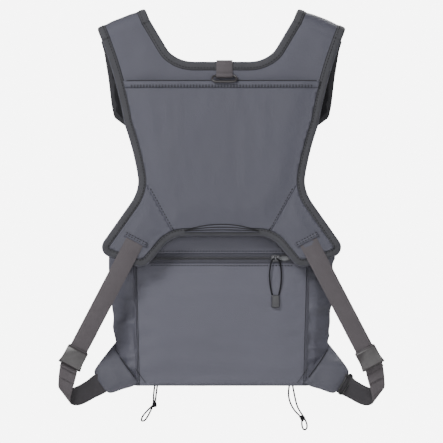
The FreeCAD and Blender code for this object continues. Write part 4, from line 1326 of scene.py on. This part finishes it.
def build_pack():
    bm = cloth_panel("pack_back_panel", TO_BACK)
    distance = border_distance(bm)
    for v in bm.verts:
        d = distance(v.co)
        broad = 0.0022 * ease(d / 0.04)
        folds = 0.0012 * ripple(v.co, 0.05, 21.0, (0.6, 1, 1.3))
        folds += 0.0005 * crease(v.co, 0.04, 5.0, (0.4, 1, 1.6))
        near_side = max(0.0, 1.0 - d / 0.03)
        puckers = 0.0007 * math.sin(v.co.z / 0.0042 + 3 * ripple(v.co, 0.05, 2.0)) * near_side
        v.co.y -= broad + (folds + puckers) * ease(d / 0.008)
    add_piece("pack_back", bm, "pack_fabric", "chest_pack", ["pack_back_panel"], wall=0.0009)

    for sign, hand in SIDES:
        outward = Vector((sign * 0.55, -0.8, 0))
        # the side walls take the darker copy of the pack fabric: painted shade
        add_pack_side("pack_side_" + hand, "pack_gusset_" + hand, outward, "gusset_fabric_painted_shade",
                      least=0.12, bulge=0.0042, fold=0.0060, seed=13.0 * sign, stretch=(0.3, 0.3, 1.3),
                      reach=0.014, fold_size=0.034, step=0.0035)
    add_pack_side("pack_front", "pack_front_panel", TO_FRONT, "pack_fabric",
                  least=0.8, bulge=0.002, fold=0.0016, seed=31.0, stretch=(0.6, 1, 1.3))
    add_pack_side("pack_lid", "pack_top", UP, "pack_fabric",
                  least=0.8, bulge=0.001, fold=0.0006, seed=35.0, stretch=(1, 1, 1), reach=0.012)
    add_pack_side("pack_floor", "pack_bottom", -UP, "pack_fabric",
                  least=0.8, bulge=0.001, fold=0.0008, seed=39.0, stretch=(1, 1, 1), reach=0.012)
    soft_copy("lining", "pack_back_lining", "lining_fabric", "chest_pack")
    pack_seams()
    build_back_zip()


def pack_seams():
    """Turned seams where the back panel meets the gussets, each with a row of stitches beside it."""
    face_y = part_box("pack_back_panel")[0][1]
    loop = outline("pack_back_panel")
    widest = max(loop, key=lambda p: p.x)
    top = max((p for p in loop if p.x > 0), key=lambda p: p.z + p.x * 0.2)
    low = max((p for p in loop if p.x > 0), key=lambda p: p.x - p.z)
    run = between(loop, top, low, widest)
    section = [(0.0011 * a / 0.0009, n) for a, n in round_section(0.0009, 8)]
    for sign, hand in SIDES:
        line = resample([Vector((sign * p.x, p.y, p.z)) for p in run], 0.004)
        frames = [(p + TO_BACK * 0.0002, TO_RIGHT, TO_BACK) for p in line]
        add_piece("pack_seam_" + hand, sweep(section, frames), "pack_fabric", "chest_pack")
        for number, inset in enumerate((0.0002, 0.0024)):
            edge = [p + Vector((-sign * inset, -0.0009, 0)) for p in line]
            thread_line("pack_seam_line_%d_%s" % (number, hand), edge, "chest_pack", 0.00032)
        upper = Vector((sign * 0.1185, face_y - 0.0012, -0.4185))
        lower = Vector((sign * 0.104, face_y - 0.0016, -0.4385))
        thread_line("corner_seam_" + hand, resample([upper, lower], 0.004), "chest_pack", 0.0004)


def open_gap(x, start, end):
    """How far each half of the zip stands off its middle line."""
    if x <= start or x >= end:
        return 0.0
    return 0.0034 * math.sin(math.pi * (x - start) / (end - start)) ** 0.8


def add_coil_turn(bm, place, size, lean=0.0):
    shape = Matrix.Rotation(math.radians(lean), 4, "Y") @ Matrix.Diagonal((*size, 1))
    bmesh.ops.create_icosphere(bm, subdivisions=1, radius=0.6, matrix=Matrix.Translation(place) @ shape)


COIL_PITCH = 0.0016


def build_back_zip():
    low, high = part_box("back_zip_tape")
    mid_z = (low[2] + high[2]) / 2
    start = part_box("back_zip_slider")[1][0] - 0.004
    end = high[0] - 0.003
    face_y = low[1]
    width = (high[2] - low[2]) / 2
    section = [(0.0, -0.0004), (0.0, 0.0003), (0.0006, 0.0007), (width - 0.0004, 0.0004), (width, 0.0),
               (width - 0.0004, -0.0004)]
    for way, name in ((1, "upper"), (-1, "lower")):
        line = []
        steps = 80
        for i in range(steps + 1):
            x = low[0] + (high[0] - low[0]) * i / steps
            line.append(Vector((x, face_y + 0.0012, mid_z + way * (0.0004 + open_gap(x, start, end)))))
        frames = [(p, UP * way, TO_BACK) for p in line]
        nodes = ["back_zip_tape"] if way > 0 else []
        add_piece("back_zip_" + name, sweep(section, frames), "zip_tape", "chest_pack", nodes)
        coil = bmesh.new()
        for spot in resample(line, COIL_PITCH):
            place = spot + Vector((0, -0.0008, way * 0.0004))
            add_coil_turn(coil, place, (0.0011, 0.0008, 0.0030), lean=20 * way)
        add_piece("back_coil_" + name, coil, "slider_metal", "chest_pack")
        row_z = mid_z + way * (width + 0.0026)
        row = [Vector((x * MM, face_y - 0.0007, row_z)) for x in range(-98, 99, 2)]
        stitches("back_zip_stitches_" + name, row, "chest_pack")
    soft_copy("back_slider", "back_zip_slider", "slider_metal", "back_slider", bevel=0.0006, segments=3)
    show_lining((start + end) / 2, face_y, mid_z)


def show_lining(middle_x, face_y, mid_z):
    """The pale lining that shows where the zip stands open."""
    lining = bmesh.new()
    bmesh.ops.create_grid(lining, x_segments=12, y_segments=4, size=1.0)
    for v in lining.verts:
        x, z = middle_x + v.co.x * 0.02, mid_z + v.co.y * 0.008
        v.co = Vector((x, face_y + 0.0045 + 0.0008 * v.co.x ** 2, z))
    bmesh.ops.recalc_face_normals(lining, faces=lining.faces)
    add_piece("zip_opening", lining, "lining_fabric", "chest_pack", wall=0.0005)


# the right tab's outline and its seam, in millimetres across and up
WING = [(145.0, -382.0), (150.5, -389.0), (162.0, -403.5), (171.5, -416.5), (174.6, -423.5), (172.0, -430.5),
        (164.5, -442.0), (157.0, -451.0), (150.0, -452.4), (136.0, -447.6), (120.0, -442.6), (114.0, -436.0),
        (117.5, -424.0), (127.0, -408.0), (137.5, -390.0)]
WING_SEAM = [(146.5, -394.0), (139.0, -404.5), (129.5, -417.0), (119.5, -430.5)]


def wing_depth(x, z):
    """How far back the tab lies: against the gusset at its tip, flat where the strap pulls it out."""
    outward = ease((abs(x) - 0.124) / 0.02)
    return 0.0195 + 0.022 * outward * ease((z + 0.420) / 0.034)


def past_seam(co):
    """How far a point lies beyond the tab's seam, towards its tip."""
    return (abs(co.x) - 0.1465) * 0.804 - (co.z + 0.394) * 0.595


def slotted_loop():
    """The flat plastic loop at the end of the right tab, its near bar over the strap."""
    near, far = Vector((0.1668, 0.0148, -0.4378)), Vector((0.1728, 0.0205, -0.4428))
    down = Vector((-0.53, 0, -0.848))
    half = 0.0128
    bend = (far - near) / 2
    middle = (near + far) / 2
    straight = (-0.8, -0.4, 0.0, 0.4, 0.8)

    def rounded_end(way):
        turns = (0.5, 1.1, 1.57, 2.1, 2.7)
        reach = bend.length
        return [middle + (down * (half * 0.8 + reach * math.sin(a)) - bend * math.cos(a)) * way for a in turns]

    path = [near + down * half * t for t in straight] + rounded_end(1)
    path += [far + down * half * t for t in reversed(straight)] + rounded_end(-1)
    path.append(path[0] + down * 0.0005)
    flat = down.cross(bend).normalized()
    frames = []
    for i, spot in enumerate(path):
        run = (path[min(i + 1, len(path) - 1)] - path[max(i - 1, 0)]).normalized()
        frames.append((spot, run.cross(flat).normalized(), flat))
    section = [(a * 0.0016 / 0.0013, n) for a, n in round_section(0.0013, 10)]
    add_piece("slotted_loop", sweep(section, frames), "black_plastic", "chest_pack")


def build_wings():
    """The fabric tabs at the pack's lower corners that hold the side straps."""
    for sign, hand in SIDES:
        around = spline_through([(x * MM, z * MM) for x, z in WING + WING[:1]], 4)[:-1]
        bm = bmesh.new()
        circle = bmesh.ops.create_circle(bm, cap_ends=False, segments=len(around), radius=1.0)
        ring = in_order(circle["verts"])
        for v, (x, z) in zip(ring, around):
            v.co = Vector((sign * x, 0.0195, z))
        bmesh.ops.holes_fill(bm, edges=bm.edges[:], sides=0)
        cut_grid(bm, 0.003)
        bmesh.ops.recalc_face_normals(bm, faces=bm.faces)
        if next(iter(bm.faces)).normal.y > 0:
            bmesh.ops.reverse_faces(bm, faces=bm.faces)
        distance = border_distance(bm)
        for v in bm.verts:
            d = distance(v.co)
            v.co.y = wing_depth(v.co.x, v.co.z)
            v.co.y -= 0.0022 * ease(d / 0.010) + 0.0020 * ripple(v.co, 0.02, 3.0 * sign) * ease(d / 0.007)
            v.co.y += 0.012 * ease(-past_seam(v.co) / 0.003)
        # the tab cloth takes the darker copy of the pack fabric: painted shade
        add_piece("wing_cloth_" + hand, bm, "wing_fabric_painted_shade", "chest_pack", ["wing_" + hand], wall=0.0022)
        seam = resample([Vector((sign * x * MM, 0, z * MM)) for x, z in WING_SEAM], 0.003)
        depths = [wing_depth(p.x, p.z) - 0.0022 + 0.0004 * ripple(p, 0.004, 2.0) for p in seam]
        seam = [Vector((p.x, y, p.z)) for p, y in zip(seam, depths)]
        thread_line("wing_seam_" + hand, seam, "chest_pack", 0.0007)
        if hand == "right":
            slotted_loop()


# ---------------------------------------------------------------- front side

def crowned_copy(name, node, body, reach, bulge, folds, seed, bevel):
    """A sewn box or flap: its edges rounded, its outer face crowned and a little creased."""
    bm = cad_shape(node)
    outer_edges = [e for e in sharp_edges(bm, 50) if max(f.normal.dot(TO_FRONT) for f in e.link_faces) > 0.5]
    round_edges(bm, outer_edges, bevel, 4)
    cut_grid(bm, 0.007)
    low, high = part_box(node)
    for v in bm.verts:
        d = min(v.co.x - low[0], high[0] - v.co.x, v.co.z - low[2], high[2] + 0.01 - v.co.z)
        outer = ease((v.co.y - (high[1] - 0.006)) / 0.004)
        fold = folds * ripple(Vector((v.co.x, 0, v.co.z)), 0.035, seed, (0.7, 1, 1.2))
        v.co.y += outer * ease(d / reach) * (bulge + fold)
    split_wide_faces(bm)
    piece = add_piece(name, bm, "pack_fabric", body, [node])
    piece.data.set_sharp_from_angle(angle=math.radians(45))


def piped_edges():
    """The piping sewn in where the front wall meets the side walls."""
    loop = outline("pack_front_panel", TO_FRONT)
    low_z, high_z = min(p.z for p in loop), max(p.z for p in loop)
    edge_x = max(p.x for p in loop)
    steps = 40
    for sign, hand in SIDES:
        frames = []
        for i in range(steps + 1):
            spot = softened(Vector((sign * edge_x, loop[0].y, low_z + (high_z - low_z) * i / steps)))
            frames.append((spot - TO_FRONT * 0.0012, TO_RIGHT, TO_FRONT))
        piping = sweep(round_section(0.0034, 12), frames)
        # the piping takes the darker copy of the pack fabric: painted shade
        add_piece("front_piping_" + hand, piping, "gusset_fabric_painted_shade", "chest_pack")


def build_front():
    crowned_copy("pocket_body", "front_pocket", "chest_pack",
                 reach=0.03, bulge=0.0004, folds=0.0012, seed=17.0, bevel=0.0011)
    crowned_copy("flap_cloth", "pocket_flap", "flap",
                 reach=0.02, bulge=0.0026, folds=0.0012, seed=19.0, bevel=0.0007)
    low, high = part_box("pocket_flap")
    row = [Vector((x * MM, high[1] + 0.0002, low[2] + 0.004)) for x in range(-96, 97, 3)]
    stitches("flap_stitches", row, "flap", out=TO_FRONT)
    piped_edges()
    soft_copy("main_zip", "main_zip_tape", "zip_tape", "chest_pack")
    soft_copy("main_slider_body", "main_zip_slider", "slider_metal", "main_slider", bevel=0.0006, segments=3)
    soft_copy("main_pull_tab", "main_zip_pull", "grip_plastic", "main_pull", bevel=0.0005, segments=3)
    low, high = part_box("main_zip_tape")
    middle_y = (low[1] + high[1]) / 2
    coil = bmesh.new()
    ends = [Vector((x, middle_y, high[2])) for x in (low[0], high[0])]
    for spot in resample(ends, COIL_PITCH):
        for way in (-1, 1):
            add_coil_turn(coil, spot + Vector((0, way * 0.0009, 0.0)), (0.0011, 0.0028, 0.0010))
    add_piece("main_coil", coil, "slider_metal", "chest_pack")


def build_top_hardware():
    webbing_piece("hanger", "hang_loop", "back_yoke", -UP, TO_RIGHT, step=0.002, wave=0.0002)
    soft_copy("ring", "neck_ring", "buckle_plastic", "neck_ring_body", bevel=0.0012, segments=4)


def finish_the_rest():
    """Gives each hidden CAD part the finish of its slot."""
    slots = {part["node"]: part["material_slot"] for part in frame["record"]["subparts"]}
    for name, node in frame["nodes"].items():
        for slot in node.material_slots:
            slot.material = FINISH[slots[name]]


def main():
    add_camera()
    add_studio()
    add_floor()
    add_cords()
    build_yoke()
    build_stash_pocket()
    build_shoulders()
    build_pads()
    build_side_straps()
    build_pack()
    build_wings()
    build_front()
    build_top_hardware()
    finish_the_rest()


main()
